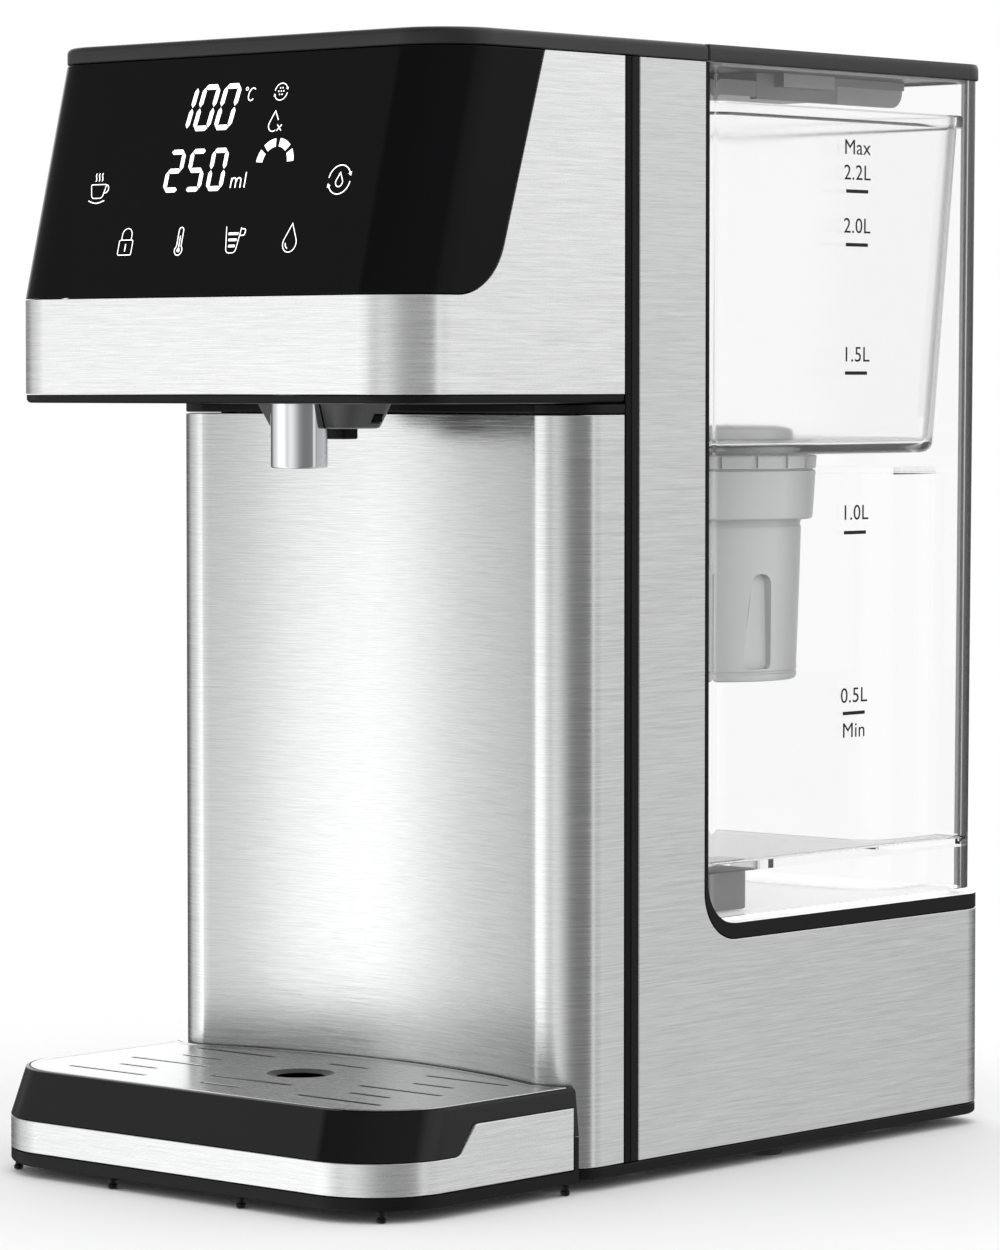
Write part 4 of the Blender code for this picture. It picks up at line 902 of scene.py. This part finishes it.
def make_cradle():
    cradle = carved(
        prism_along_x(cradle_profile(SKIN_REAR_EDGE_Y + GAP, CRADLE_CORNER), -0.08, 0.08),
        ("INTERSECT", prism(rear_path(-0.02), 0.0, 0.40)),
        ("UNION", box(-0.0755, 0.0755, -0.0030, 0.0003, 0.0660, 0.3038)),
        ("UNION", prism(box_outline(-0.0715, 0.0715, 0.0060, 0.1240, 0.0080), 0.0670, TANK_BOTTOM_Z - GAP)),
        ("DIFFERENCE", turned([(0.0106, 0.05), (0.0106, 0.09)], (VALVE_X, VALVE_Y, 0))),
    )
    made = {"replaces": ["tank_cradle"], "bevel": 0.0003, "angle": 40}
    obj = piece("tank_cradle_moulding", cradle, SATIN_BLACK, "black_plastic", **made)
    # Painted light: the pad's top faces take the glowing white.
    pad_z = SHELF_TOP_Z - 0.0002
    add_look(obj, PAD_PAINTED_GLOW, lambda x, y, z, normal: z > pad_z and 0.0055 < y < 0.125 and abs(x) < 0.0725)
    socket = [(0.0060, 0.0480), (0.0100, 0.0500), (0.0100, 0.0600), (0.0130, 0.0600), (0.0130, 0.0638)]
    socket += [(0.0103, 0.0638), (0.0103, 0.0678), (0.0058, 0.0678), (0.0058, 0.0540), (0.0018, 0.0520)]
    socket += [(0.0018, 0.0405), (0.0030, 0.0400), (0.0030, 0.0480)]
    cup = turned(socket, (VALVE_X, VALVE_Y, 0), hollow=True)
    piece("tank_socket_cup", cup, GREY, "grey_plastic", replaces=["tank_socket"])
    seal = [(0.0060, 0.0681), (0.0098, 0.0681), (0.0096, 0.0690), (0.0092, 0.0699)]
    seal += [(0.0066, 0.0699), (0.0061, 0.0690)]
    lip = turned(seal, (VALVE_X, VALVE_Y, 0), hollow=True)
    piece("socket_seal_ring", lip, SILICONE, "silicone", replaces=["socket_seal"])
    gland = [(0.0060, -0.0040), (0.0069, -0.0034), (0.0069, -0.0004), (0.0065, 0.0), (0.0039, 0.0)]
    gland += [(0.0035, -0.0004), (0.0035, -0.0150), (0.0060, -0.0150), (0.0060, -0.0065)]
    gland += [(0.0095, -0.0065), (0.0095, -0.0040)]
    sleeve = turned(gland, (-0.050, REAR_Y - 0.0002, 0.024), "Y", hollow=True)
    piece("cord_gland_sleeve", sleeve, SATIN_BLACK, "black_plastic", replaces=["cord_gland"])


# Tank with its hopper and filter


def recess(distance, top):
    """The hollow up the tank's rear, widened by a distance."""
    corners = [
        (-0.0660 - distance, 0.1450, 0),
        (-0.0575 - distance, 0.1265, 0.0060),
        (-0.0575 - distance, 0.0985 - distance, 0.0100 + distance),
        (0.0575 + distance, 0.0985 - distance, 0.0100 + distance),
        (0.0575 + distance, 0.1265, 0.0060),
        (0.0660 + distance, 0.1450, 0),
    ]
    return prism(rounded(corners, 12), 0.0500, top)


def tank_room(z0, z1, top_side, top_rear, distance, fillet=0.0):
    """The hollow of the tank above or below its floor, with a filleted edge round the floor."""
    low = tank_outline(TANK_FOOT_SIDE, TANK_FOOT_REAR_Y, distance)
    high = tank_outline(top_side, top_rear, distance)
    rings = [(z0, low), (z1, high)]
    if fillet:
        turns = [pi / 2 * i / 6 for i in range(6)]
        rings[:1] = [(z0 + fillet * (1 - cos(a)), inset(low, fillet * (1 - sin(a)))) for a in turns]
        rings.insert(6, (z0 + fillet, low))
    return minus(loft(levels(*rings)), recess(TANK_WALL, RECESS_TOP_Z + TANK_WALL))


def make_tank():
    bend_y = CRADLE_BACK_Y + CRADLE_CORNER
    bend_z = SHELF_TOP_Z + CRADLE_CORNER
    bend = arc(bend_y, bend_z, CRADLE_CORNER - 2 * GAP, -pi / 2, -pi, 20)
    front_edge = [(-0.02, 0.05), (bend_y, 0.05), *bend, (-0.02, bend_z)]
    low = tank_outline(TANK_FOOT_SIDE, TANK_FOOT_REAR_Y)
    shell = minus(
        loft(levels((TANK_BOTTOM_Z, low), (SKIN_TOP_Z, tank_outline(TANK_SIDE)))),
        recess(0.0, RECESS_TOP_Z),
        tank_room(TANK_FLOOR_Z + 0.0024, 0.3500, TANK_SIDE, TANK_REAR_Y, TANK_WALL, 0.0012),
        tank_room(0.0500, TANK_FLOOR_Z, TANK_FOOT_SIDE, TANK_FOOT_REAR_Y, TANK_WALL),
        prism_along_x(front_edge, *ACROSS),
        turned([(0.0028, 0.0750), (0.0028, 0.0900)], (VALVE_X, VALVE_Y, 0)),
    )
    edge = {"bevel": 0.0005, "angle": 40, "segments": 3}
    tank = piece("tank_clear_shell", shell, CLEAR, "clear_plastic", "tank", ["tank_shell"], **edge)
    tank.visible_shadow = False
    rear_y, side = TANK_REAR_Y - TANK_CORNER - 0.0010, TANK_SIDE - TANK_CORNER

    def is_painted_shade_corner(x, y, z, normal):
        return abs(normal.z) < 0.5 and y > rear_y and abs(x) > side

    def is_roof_or_floor(x, y, z, normal):
        return abs(normal.z) > 0.9 and (0.19 < z < 0.196 or abs(z - TANK_FLOOR_Z) < GAP)

    # Painted shade: the tank's rear corner faces take a darker copy of the clear plastic.
    add_look(tank, CLEAR_PAINTED_SHADE_CORNER, is_painted_shade_corner)
    # Roof and floor faces: near-air IOR and only a faint painted edge shade, so they stay light.
    add_look(tank, CLEAR_ROOF, is_roof_or_floor)
    block = box_outline(VALVE_X - 0.0125, VALVE_X + 0.0210, 0.0076, 0.0320, 0.0040)
    well = [(0.0038, 0.0600), (0.0038, 0.0722), (0.0074, 0.0722), (0.0074, 0.0900)]
    housing = pillow(block, 0.0705, TANK_FLOOR_Z - GAP, 0.0006, 0.0006)
    housing = minus(housing, turned(well, (VALVE_X, VALVE_Y, 0)))
    piece("valve_housing_block", housing, VALVE_GREY, "grey_plastic", "tank", ["valve_housing"])


def make_valve_spring():
    """The coil over the valve's plunger, built at one length with a mesh of its own; the real coil shortens
    as the plunger lifts.
    """
    coils, steps = 2.5, 36
    wire, mean = 0.0003, 0.0036
    low = 0.0752 + GAP + wire
    high = TANK_FLOOR_Z - GAP - wire
    count = int(coils * steps)
    rings = []
    for index in range(count + 1):
        angle = 2 * pi * index / steps
        outward = Vector((cos(angle), sin(angle), 0))
        middle = Vector((VALVE_X, VALVE_Y, low + (high - low) * index / count)) + outward * mean
        rings.append([middle + outward * c + Vector((0, 0, s)) for c, s in circle(wire, 10)])
    coil = piece("valve_spring_coil", loft(rings), ALUMINIUM, "aluminium", "tank", ["valve_spring"])
    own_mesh(coil)


def make_hopper():
    rim = box_outline(-0.0735, 0.0735, 0.0050, 0.1270, 0.0100, 16)
    high = box_outline(-0.0722, 0.0722, 0.0060, 0.1256, 0.0100, 16)
    low = box_outline(-0.0690, 0.0690, 0.0075, 0.1210, 0.0120, 16)
    thick = 0.0018
    rings = []
    for outline, steps in (
        (low, ((0.1985, 0.0060), (0.1985, 0.0036), (0.1989, 0.0022), (0.1998, 0.0011), (0.2012, 0.0006))),
        (low, ((0.2090, 0.0),)),
        (high, ((0.2932, 0.0),)),
        (rim, ((0.2935, 0.0005), (0.2940, 0.0), (0.2965, 0.0), (0.2970, 0.0005))),
        (high, ((0.2970, thick - 0.0004), (0.2966, thick))),
        (low, ((0.2090, thick), (0.2036, 0.0023), (0.2022, 0.0028), (0.2013, 0.0038), (0.2010, 0.0060))),
    ):
        rings += levels(*((z, inset(outline, distance)) for z, distance in steps))
    centre = (FILTER_X, FILTER_Y, 0)
    hopper = minus(loft(rings), turned([(0.0240, 0.19), (0.0240, 0.22)], centre, segments=96))
    obj = piece("hopper_frosted", hopper, FROSTED, "frosted_plastic", "tank", ["hopper"])
    obj.visible_shadow = False

    def is_painted_shade_corner(x, y, z, normal):
        return abs(normal.z) < 0.5 and y > 0.1080 and abs(x) > 0.0600 and z < 0.2935

    # Painted shade: the hopper's rear corner faces take a darker copy of the frosted plastic.
    add_look(obj, FROSTED_PAINTED_SHADE_CORNER, is_painted_shade_corner)
    collar = [(0.0286, 0.1798), (0.0289, 0.1795), (0.0295, 0.1796), (0.0299, 0.1800), (0.0301, 0.1808)]
    collar += [(0.0309, 0.1932), (0.0308, 0.1936), (0.0300, 0.1938), (0.0300, 0.1941), (0.0309, 0.1943)]
    collar += [(0.0312, 0.1976), (0.0309, 0.1980), (0.0245, 0.1980), (0.0245, 0.1958), (0.0286, 0.1958)]

    def turned_round(solid, degrees):
        solid.transform(Matrix.Translation(centre) @ Matrix.Rotation(radians(degrees), 4, "Z"))
        return solid

    notch = (0.0302, 0.0330, -0.0011, 0.0011, 0.1945, 0.1990)
    notches = [turned_round(box(*notch), 20 * index - 6) for index in range(18)]
    ring = minus(turned(collar, centre, segments=96, hollow=True), *notches)
    piece("filter_collar_ring", ring, FILTER_GREY_PAINTED_EDGE_SHADE, "frosted_plastic", "tank", ["filter_collar"], angle=30)
    body = [(0.0200, 0.1329), (0.0244, 0.1330), (0.0250, 0.1333), (0.0254, 0.1341), (0.0255, 0.1350)]
    body += [(0.0252, 0.1353), (0.0252, 0.1357), (0.0255, 0.1360), (0.0267, 0.1772), (0.0264, 0.1778)]
    body += [(0.0266, 0.1790), (0.0268, 0.1800), (0.0281, 0.1804), (0.0281, 0.1945), (0.0278, 0.1950)]
    body += [(0.0238, 0.1950), (0.0238, 0.2040), (0.0232, 0.2052), (0.0200, 0.2060)]
    slot = [(-0.0062, 0.1366, 0.0018), (0.0046, 0.1366, 0.0018), (0.0040, 0.1640, 0.0034)]
    slot.append((-0.0028, 0.1640, 0.0030))
    sides = (0.0236, 0.78), (0.0300, 1.25)
    rings = [[(reach, y * widen, z) for y, z in rounded(slot, 10)] for reach, widen in sides]
    slots = [turned_round(loft(rings), 60 * index - 16) for index in range(6)]
    cartridge = minus(turned(body, centre, segments=96), *slots)
    place = {"body": "tank", "replaces": ["filter_cartridge"], "angle": 30}
    piece("filter_cartridge_body", cartridge, FILTER_GREY_PAINTED_EDGE_SHADE, "white_plastic", **place)


def make_scale_marks():
    """Printed levels on the tank's right wall."""
    centre_y = 0.0672
    slope = (TANK_SIDE - TANK_FOOT_SIDE) / (SKIN_TOP_Z - TANK_BOTTOM_Z)
    lift = 0.00001
    thick = 0.00005
    widened = 1.16

    def wall_x(z):
        return TANK_FOOT_SIDE + (z - TANK_BOTTOM_Z) * slope + lift

    texts = {"max": ("Max", 0.2857), "2_2": ("2.2L", 0.2785), "2_0": ("2.0L", 0.2634)}
    texts |= {"1_5": ("1.5L", 0.2268), "1_0": ("1.0L", 0.1817), "0_5": ("0.5L", 0.1294)}
    texts |= {"min": ("Min", 0.1194)}
    for key, (words, z) in texts.items():
        curve = bpy.data.curves.new("level", "FONT")
        curve.body = words
        curve.size = 0.0061
        curve.extrude = thick / 2
        curve.resolution_u = 6
        curve.align_x = "CENTER"
        curve.align_y = "CENTER"
        curve.space_character = 1.04
        text = bpy.data.objects.new("level", curve)
        bpy.context.collection.objects.link(text)
        graph = bpy.context.evaluated_depsgraph_get()
        solid = bmesh.new()
        solid.from_mesh(text.evaluated_get(graph).to_mesh())
        bpy.data.objects.remove(text)
        bpy.data.curves.remove(curve)
        bmesh.ops.remove_doubles(solid, verts=solid.verts, dist=1e-7)
        rows = (0, slope, 1, wall_x(z) + thick / 2), (widened, 0, 0, centre_y), (0, 1, 0, z), (0, 0, 0, 1)
        solid.transform(Matrix(rows))
        piece("level_text_" + key, solid, PRINT_GREY, "black_plastic", "tank")
    half, rise = 0.0051, 0.0005
    outline = [(-half, -rise), (half, -rise), (half, rise), (-half, rise)]
    for key, z in {"2_2": 0.2734, "2_0": 0.2582, "1_5": 0.2217, "1_0": 0.1762, "0_5": 0.1245}.items():
        low, high = (
            [(wall_x(z + dz) + depth, centre_y + dy, z + dz) for dy, dz in outline] for depth in (0, thick)
        )
        piece("level_bar_" + key, loft([low, high]), PRINT_GREY, "black_plastic", "tank")


# Lid and its folding handle


def make_lid():
    half, low, high = HALF_WIDTH, COVER_BOTTOM_Z, COVER_TOP_Z
    corners = [(-half, GAP, 0.0006), (half, GAP, 0.0006)]
    corners += [(half, TANK_REAR_Y + 0.0008, TANK_CORNER), (-half, TANK_REAR_Y + 0.0008, TANK_CORNER)]
    top = stack(
        rounded(corners, 16),
        *((low, 0.0002), (low + 0.0003, 0.0), (high - 0.0015, 0.0)),
        *((high - 0.0009, 0.00012), (high - 0.0004, 0.0003), (high, 0.00055)),
    )
    outer, inner = (
        box_outline(d - half, half - d, TANK_FRONT_Y + d, TANK_REAR_Y - d, 0.0070, 12)
        for d in (0.0038, 0.0054)
    )
    low = LID_SKIRT_BOTTOM_Z
    skirt = loft(levels((low, outer), (0.3080, outer), (0.3080, inner), (low, inner)), cycle=True)
    rod_place = (0, HANDLE_PIVOT_Y, HANDLE_PIVOT_Z)
    cheek = [(0.0514, 0.2999, 0), (0.1206, 0.2999, 0.0050), (0.1206, 0.3085, 0), (0.0514, 0.3085, 0)]
    cheek = rounded(cheek, 12)
    sides = []
    for side in (-1, 1):
        sides.append(("UNION", prism_along_x(cheek, *sorted((side * 0.0492, side * 0.0516)))))
        for operation, x0, x1, y0, y1, z0, z1 in (
            ("UNION", 0.0501, 0.0515, 0.0300, 0.0520, 0.3005, 0.3050),
            ("DIFFERENCE", 0.0509, 0.0600, 0.0888, 0.1300, 0.2900, 0.3050),
            ("UNION", 0.0510, 0.0550, 0.0595, 0.0830, 0.3036, 0.3085),
        ):
            sides.append((operation, box(*sorted((side * x0, side * x1)), y0, y1, z0, z1)))
    lid = carved(
        top,
        ("UNION", skirt),
        ("UNION", pillow(box_outline(-0.0500, 0.0500, 0.0514, 0.1206, 0.0040), 0.3028, 0.3090, 0.0006)),
        *sides,
        ("DIFFERENCE", box(-0.0500, 0.0500, 0.0530, 0.1190, 0.3038, 0.3300, 0.0030)),
        ("DIFFERENCE", turned([(0.0018, -0.0545), (0.0018, 0.0545)], rod_place, "X")),
    )
    edge = {"bevel": 0.0003, "angle": 50}
    obj = piece("tank_lid_moulding", lid, COVER_BLACK, "black_plastic", "lid", ["tank_lid"], **edge)

    def is_below(x, y, z, normal):
        return z < COVER_BOTTOM_Z - GAP and normal.z < 0.5

    def is_lit_side(x, y, z, normal):
        sideways = abs(normal.x) > 0.9 and abs(x) > 0.0505
        return is_below(x, y, z, normal) and sideways and (y > 0.0888 or abs(x) > 0.0520)

    add_look(obj, LID_GREY, is_below)
    # Painted light: the lid's lit sideways faces take the lighter grey.
    add_look(obj, LID_PAINTED_LIGHT, is_lit_side)
    rod = turned([(0.0012, -0.0540), (0.0015, -0.0537), (0.0015, 0.0537), (0.0012, 0.0540)], rod_place, "X")
    piece("handle_rod_pin", rod, ALUMINIUM, "aluminium", "lid", ["handle_rod"])
    front = HANDLE_PIVOT_Y - 0.0036
    bail = [(-0.0485, front, 0.0020), (-0.0420, front, 0.0020), (-0.0420, 0.1070, 0.0060)]
    bail += [(0.0420, 0.1070, 0.0060), (0.0420, front, 0.0020), (0.0485, front, 0.0020)]
    bail = rounded([*bail, (0.0485, 0.1165, 0.0090), (-0.0485, 0.1165, 0.0090)], 12)
    handle = pillow(bail, HANDLE_PIVOT_Z - 0.0033, HANDLE_PIVOT_Z + 0.0033, 0.0014, 0.0014, 5)
    handle = minus(handle, turned([(0.0016, -0.0600), (0.0016, 0.0600)], rod_place, "X"))
    piece("lid_handle_bail", handle, COVER_BLACK, "black_plastic", "handle", ["lid_handle"])


# Drip tray


def slot_places():
    """Drip slots as (x, y, length): long and short ones take turns, and the drain is in the middle."""
    long = 0.0305
    short = 0.0150
    rows = [(-0.1133, (long, short, long)), (-0.1013, (short, long, short)), (-0.0893, (long, 0, long))]
    rows += [(-0.0763, (short, 0, short)), (-0.0628, (long, short, long))]
    return [(x, y, size) for y, row in rows for x, size in zip((-0.0442, 0.0, 0.0442), row) if size]


def step_profile(gap):
    """Side view of the step where the steel band climbs on the tray's sides."""
    low = TRAY_BAND_TOP_Z + gap
    high = TRAY_SIDE_BAND_TOP_Z + gap
    rear = TRAY_REAR_Y - 0.0020 + gap
    corners = [(TRAY_STEP_Y - 0.0035 - gap, low, 0.0030), (TRAY_STEP_Y + 0.0030 - gap, high, 0.0025)]
    corners += [(rear, high, 0), (rear, 0.0, 0), (-0.20, 0.0, 0), (-0.20, low, 0)]
    return rounded(corners, 10)


def make_tray():
    full = tray_outline(TRAY_FRONT_Y, HALF_WIDTH)
    top = tray_outline(TRAY_FRONT_Y + 0.0043, HALF_WIDTH - 0.0012)
    opening = inset(top, 0.0011)
    low, shoulder, high = TRAY_BOTTOM_Z, TRAY_BAND_BOTTOM_Z - GAP, TRAY_BAND_TOP_Z
    basin = stack(
        full,
        *((low, 0.0010), (low + 0.0003, 0.0004), (low + 0.0009, 0.0), (shoulder, 0.0), (shoulder, 0.0014)),
        *((high, 0.0014), (high, 0.0046), (0.0052, 0.0048), (0.0048, 0.0054)),
    )
    pin = [(0.0010, 0.0002), (0.0012, 0.0004), (0.0013, 0.0007), (0.0013, 0.0012), (0.0009, 0.0016)]
    pin.append((0.0009, 0.0040))
    end_y = TRAY_REAR_Y - 0.0020
    inner = HALF_WIDTH - 0.0020
    post = [(inner, end_y + GAP), (HALF_WIDTH, end_y + GAP), (HALF_WIDTH, TRAY_REAR_Y)]
    post.append((inner, TRAY_REAR_Y - 0.0007))
    extras = []
    for side in (-1, 1):
        for x, y in ((0.0245, -0.1304), (0.0692, -0.1236), (0.0752, -0.0575)):
            extras.append(turned(pin, (side * x, y, 0), segments=24))
        extras.append(prism([(side * x, y) for x, y in post], low + 0.0010, high))
    basin = carved(basin, *(("UNION", solid) for solid in extras))
    piece("tray_basin_moulding", basin, SATIN_BLACK, "black_plastic", "tray", ["tray_basin"])
    path = [(-HALF_WIDTH, end_y), *full[: 2 * (TRAY_STEPS + 1)], (HALF_WIDTH, end_y)]
    band = carved(
        prism(wall(path, STEEL), TRAY_BAND_BOTTOM_Z, TRAY_SIDE_BAND_TOP_Z + 0.0060),
        ("INTERSECT", prism_along_x(step_profile(0.0), *ACROSS)),
    )
    edge = {"bevel": 0.0002, "angle": 40}
    piece("tray_steel_band", band, STEEL_TRAY, "brushed_steel", "tray", ["tray_band"], **edge)
    low, high = TRAY_BAND_TOP_Z + GAP, TRAY_TOP_Z
    rings = levels((low, full), (high - 0.0009, top), (high - 0.0003, inset(top, 0.0002)))
    rings += levels((high, inset(top, 0.0007)), (high, opening), (high - 0.0016, opening))
    rings += levels((high - 0.0016, inset(top, 0.0030)), (low, inset(full, 0.0042)))
    sides = [sorted((side * (HALF_WIDTH - STEEL - GAP), side * 0.10)) for side in (-1, 1)]
    bezel = minus(loft(rings, cycle=True), *(prism_along_x(step_profile(GAP), *ends) for ends in sides))
    piece("tray_bezel_gloss", bezel, BEZEL_BLACK, "gloss_black", "tray", ["tray_bezel"])
    high = PLATE_TOP_Z
    plate = stack(
        inset(opening, GAP),
        *((high - 0.0012, 0.0), (high - 0.0003, 0.0), (high - 0.0001, 0.0001), (high, 0.0003)),
        *((high, 0.0010), (high - 0.00012, 0.0012), (high - 0.0003, 0.0015)),
    )
    holes = []
    for x, y, size in slot_places():
        run, sunk = (
            box_outline(x - size / 2 - rim, x + size / 2 + rim, y - 0.0008 - rim, y + 0.0008 + rim, radius, 6)
            for rim, radius in ((0.0, 0.00079), (0.0003, 0.00109))
        )
        holes.append(loft(levels((0.02, run), (0.02888, run), (0.0290, sunk), (0.0295, sunk))))
    drain = [(0.0067, 0.02), (0.0067, 0.0282), (0.0069, 0.0283), (0.0093, 0.02895)]
    drain += [(0.0096, 0.0291), (0.0096, 0.04)]
    plate = minus(plate, *holes, turned(drain, (0, NOZZLE_Y, 0), segments=96))
    obj = piece("drip_plate_steel", plate, STEEL_PLATE, "brushed_steel", "plate", ["drip_plate"])

    def is_painted_shade_hole(x, y, z, normal):
        near = [abs(x - sx) < size / 2 + 0.0016 and abs(y - sy) < 0.0016 for sx, sy, size in slot_places()]
        return abs(normal.z) < 0.3 and (any(near) or Vector((x, y - NOZZLE_Y)).length < 0.0070)

    def is_painted_shade_dish(x, y, z, normal):
        dished = Vector((x, y - NOZZLE_Y)).length < 0.0094 and abs(normal.z) < 0.99
        return dished and not is_painted_shade_hole(x, y, z, normal)

    # Painted shade: slot and drain walls are coloured black, and the dish round the drain a darker steel.
    add_look(obj, MATT_BLACK_AND_HOLE_SHADE, is_painted_shade_hole)
    add_look(obj, DISH_PAINTED_SHADE, is_painted_shade_dish)


def finish_inner_nodes():
    """The works behind the skins keep their CAD shapes and take procedural finishes."""
    for look, names in (
        (GREY, "column_frame"),
        (WHITE, "outlet_chamber pump_head pump_impeller flow_meter_body flow_meter_rotor valve_plunger"),
        (ALUMINIUM, "pump_motor heater_tube"),
        (MATT_BLACK_AND_HOLE_SHADE, "heater_cap_bottom heater_cap_top"),
        (BOARD, "power_board display_board"),
        (SILICONE, "suction_hose pump_hose heater_hose hot_hose valve_seal"),
    ):
        for name in names.split():
            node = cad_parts[name]
            node.data.materials.clear()
            node.data.materials.append(look)


# Studio


def world_light():
    """White all round for plain light; reflections see a softer, darker studio with bright panels."""
    world = bpy.data.worlds.new("studio")
    bpy.context.scene.world = world
    world.use_nodes = True
    tree = world.node_tree
    rays = add_node(tree, "LightPath")
    place = add_node(tree, "TexCoord")
    apart = add_node(tree, "SeparateXYZ", {"Vector": place.outputs["Generated"]})

    def math(operation, *values):
        return add_node(tree, "Math", dict(enumerate(values)), operation=operation).outputs["Value"]

    def ramp(value, stops):
        """Levels at angles, as stops over a full turn."""
        node = add_node(tree, "ValToRGB", {"Fac": value})
        elements = node.color_ramp.elements
        for element, (_, level) in zip((elements[0], elements[1]), (stops[0], stops[-1])):
            element.color = (level, level, level, 1.0)
        for degrees, level in stops[1:-1]:
            elements.new((degrees + 180) / 360).color = (level, level, level, 1.0)
        return node.outputs["Color"]

    def blend(factor, first, second):
        inputs = {"Factor": factor, 6: first, 7: second}
        return add_node(tree, "Mix", inputs, data_type="RGBA").outputs[2]

    azimuth = math("ARCTAN2", apart.outputs["X"], math("MULTIPLY", apart.outputs["Y"], -1.0))
    turn = math("MULTIPLY_ADD", azimuth, 1 / (2 * pi), 0.5)
    low = [(-180, 0.15), (-140, 0.15), (-118, 0.10), (-102, 0.12), (-90, 0.33), (-80, 0.66), (-67, 0.78)]
    low += [(-60, 0.88), (-53, 1.06), (-46, 1.30), (-39, 1.48), (-30, 1.42), (-22, 1.32), (-14, 0.96)]
    low += [(-4, 0.76), (5, 0.96), (13, 0.92), (21, 0.80), (28, 0.64), (37, 0.46), (46, 0.30), (60, 0.21)]
    low += [(80, 0.20), (98, 0.24), (104, 0.90), (114, 0.50), (122, 0.55), (138, 0.72), (150, 0.45)]
    low += [(165, 0.30), (180, 0.15)]
    high = [(-180, 1.2), (-118, 1.2), (-104, 0.3), (-80, 0.3), (-46, 0.62), (-36, 0.15), (10, 0.20)]
    high += [(30, 0.25), (75, 0.30), (92, 0.30), (106, 0.9), (122, 1.0), (160, 1.0), (180, 1.2)]
    inputs = {"Value": apart.outputs["Z"], "From Min": -0.01, "From Max": 0.12}
    rise = add_node(tree, "MapRange", inputs, interpolation_type="SMOOTHSTEP").outputs["Result"]
    seen = blend(rise, ramp(turn, low), ramp(turn, high))
    through = math("SUBTRACT", 1.0, rays.outputs["Is Transmission Ray"])
    mirror = math("MULTIPLY", rays.outputs["Is Glossy Ray"], through)
    both = blend(mirror, (1.0, 1.0, 1.0, 1.0), seen)
    feed(tree, tree.nodes["Background"], {"Color": both, "Strength": 1.0})


def area_light(name, azimuth, elevation, distance, width, height, power):
    """A soft panel that faces the dispenser from a direction in degrees."""
    light = bpy.data.lights.new(name, "AREA")
    light.shape = "RECTANGLE"
    light.size = width
    light.size_y = height
    light.energy = power
    obj = bpy.data.objects.new(name, light)
    bpy.context.collection.objects.link(obj)
    a, e = radians(azimuth), radians(elevation)
    out = Vector((sin(a) * cos(e), -cos(a) * cos(e), sin(e)))
    obj.location = Vector((0, 0, 0.15)) + out * distance
    obj.visible_glossy = False
    obj.rotation_mode = "QUATERNION"
    obj.rotation_quaternion = out.to_track_quat("Z", "Y")


def make_floor():
    ground = bmesh.new()
    ground.faces.new([ground.verts.new((x, y, 0.0)) for x, y in circle(2.5, 96)])
    mesh = bpy.data.meshes.new("floor")
    ground.to_mesh(mesh)
    ground.free()
    floor = bpy.data.objects.new("floor", mesh)
    bpy.context.collection.objects.link(floor)
    material, tree, shader = new_look("floor_look", alike(0.92), 0.7)
    shader.inputs["Specular IOR Level"].default_value = 0.1
    place = add_node(tree, "TexCoord").outputs["Object"]
    away = add_node(tree, "VectorMath", {0: place}, operation="LENGTH").outputs["Value"]
    inputs = {"Value": away, "From Min": 0.19, "From Max": 0.60, "To Min": 0.0}
    fade = add_node(tree, "MapRange", inputs, interpolation_type="SMOOTHSTEP").outputs["Result"]
    glow = add_node(tree, "Emission").outputs["Emission"]
    faded = add_node(tree, "MixShader", {"Fac": fade, 1: shader.outputs["BSDF"], 2: glow})
    feed(tree, tree.nodes["Material Output"], {"Surface": faded.outputs["Shader"]})
    mesh.materials.append(material)
    floor.visible_glossy = False


def make_studio():
    world_light()
    area_light("overhead", 0, 88, 2.6, 2.4, 2.4, 14.0)
    area_light("right_panel", 74, 32, 2.2, 1.2, 1.2, 5.0)
    make_floor()
    camera = bpy.data.cameras.new("camera")
    camera.lens = 147.5
    camera.sensor_width = 36.0
    obj = bpy.data.objects.new("camera", camera)
    bpy.context.collection.objects.link(obj)
    obj.location = (0.9764, -1.0918, 0.2195)
    obj.rotation_euler = (radians(90 - 2.73), 0.0, radians(41.80))
    bpy.context.scene.camera = obj
    bpy.context.scene.view_settings.view_transform = "Standard"


make_base()
make_skins()
make_head()
make_display()
make_spout()
make_cradle()
make_tank()
make_valve_spring()
make_hopper()
make_scale_marks()
make_lid()
make_tray()
finish_inner_nodes()
make_studio()
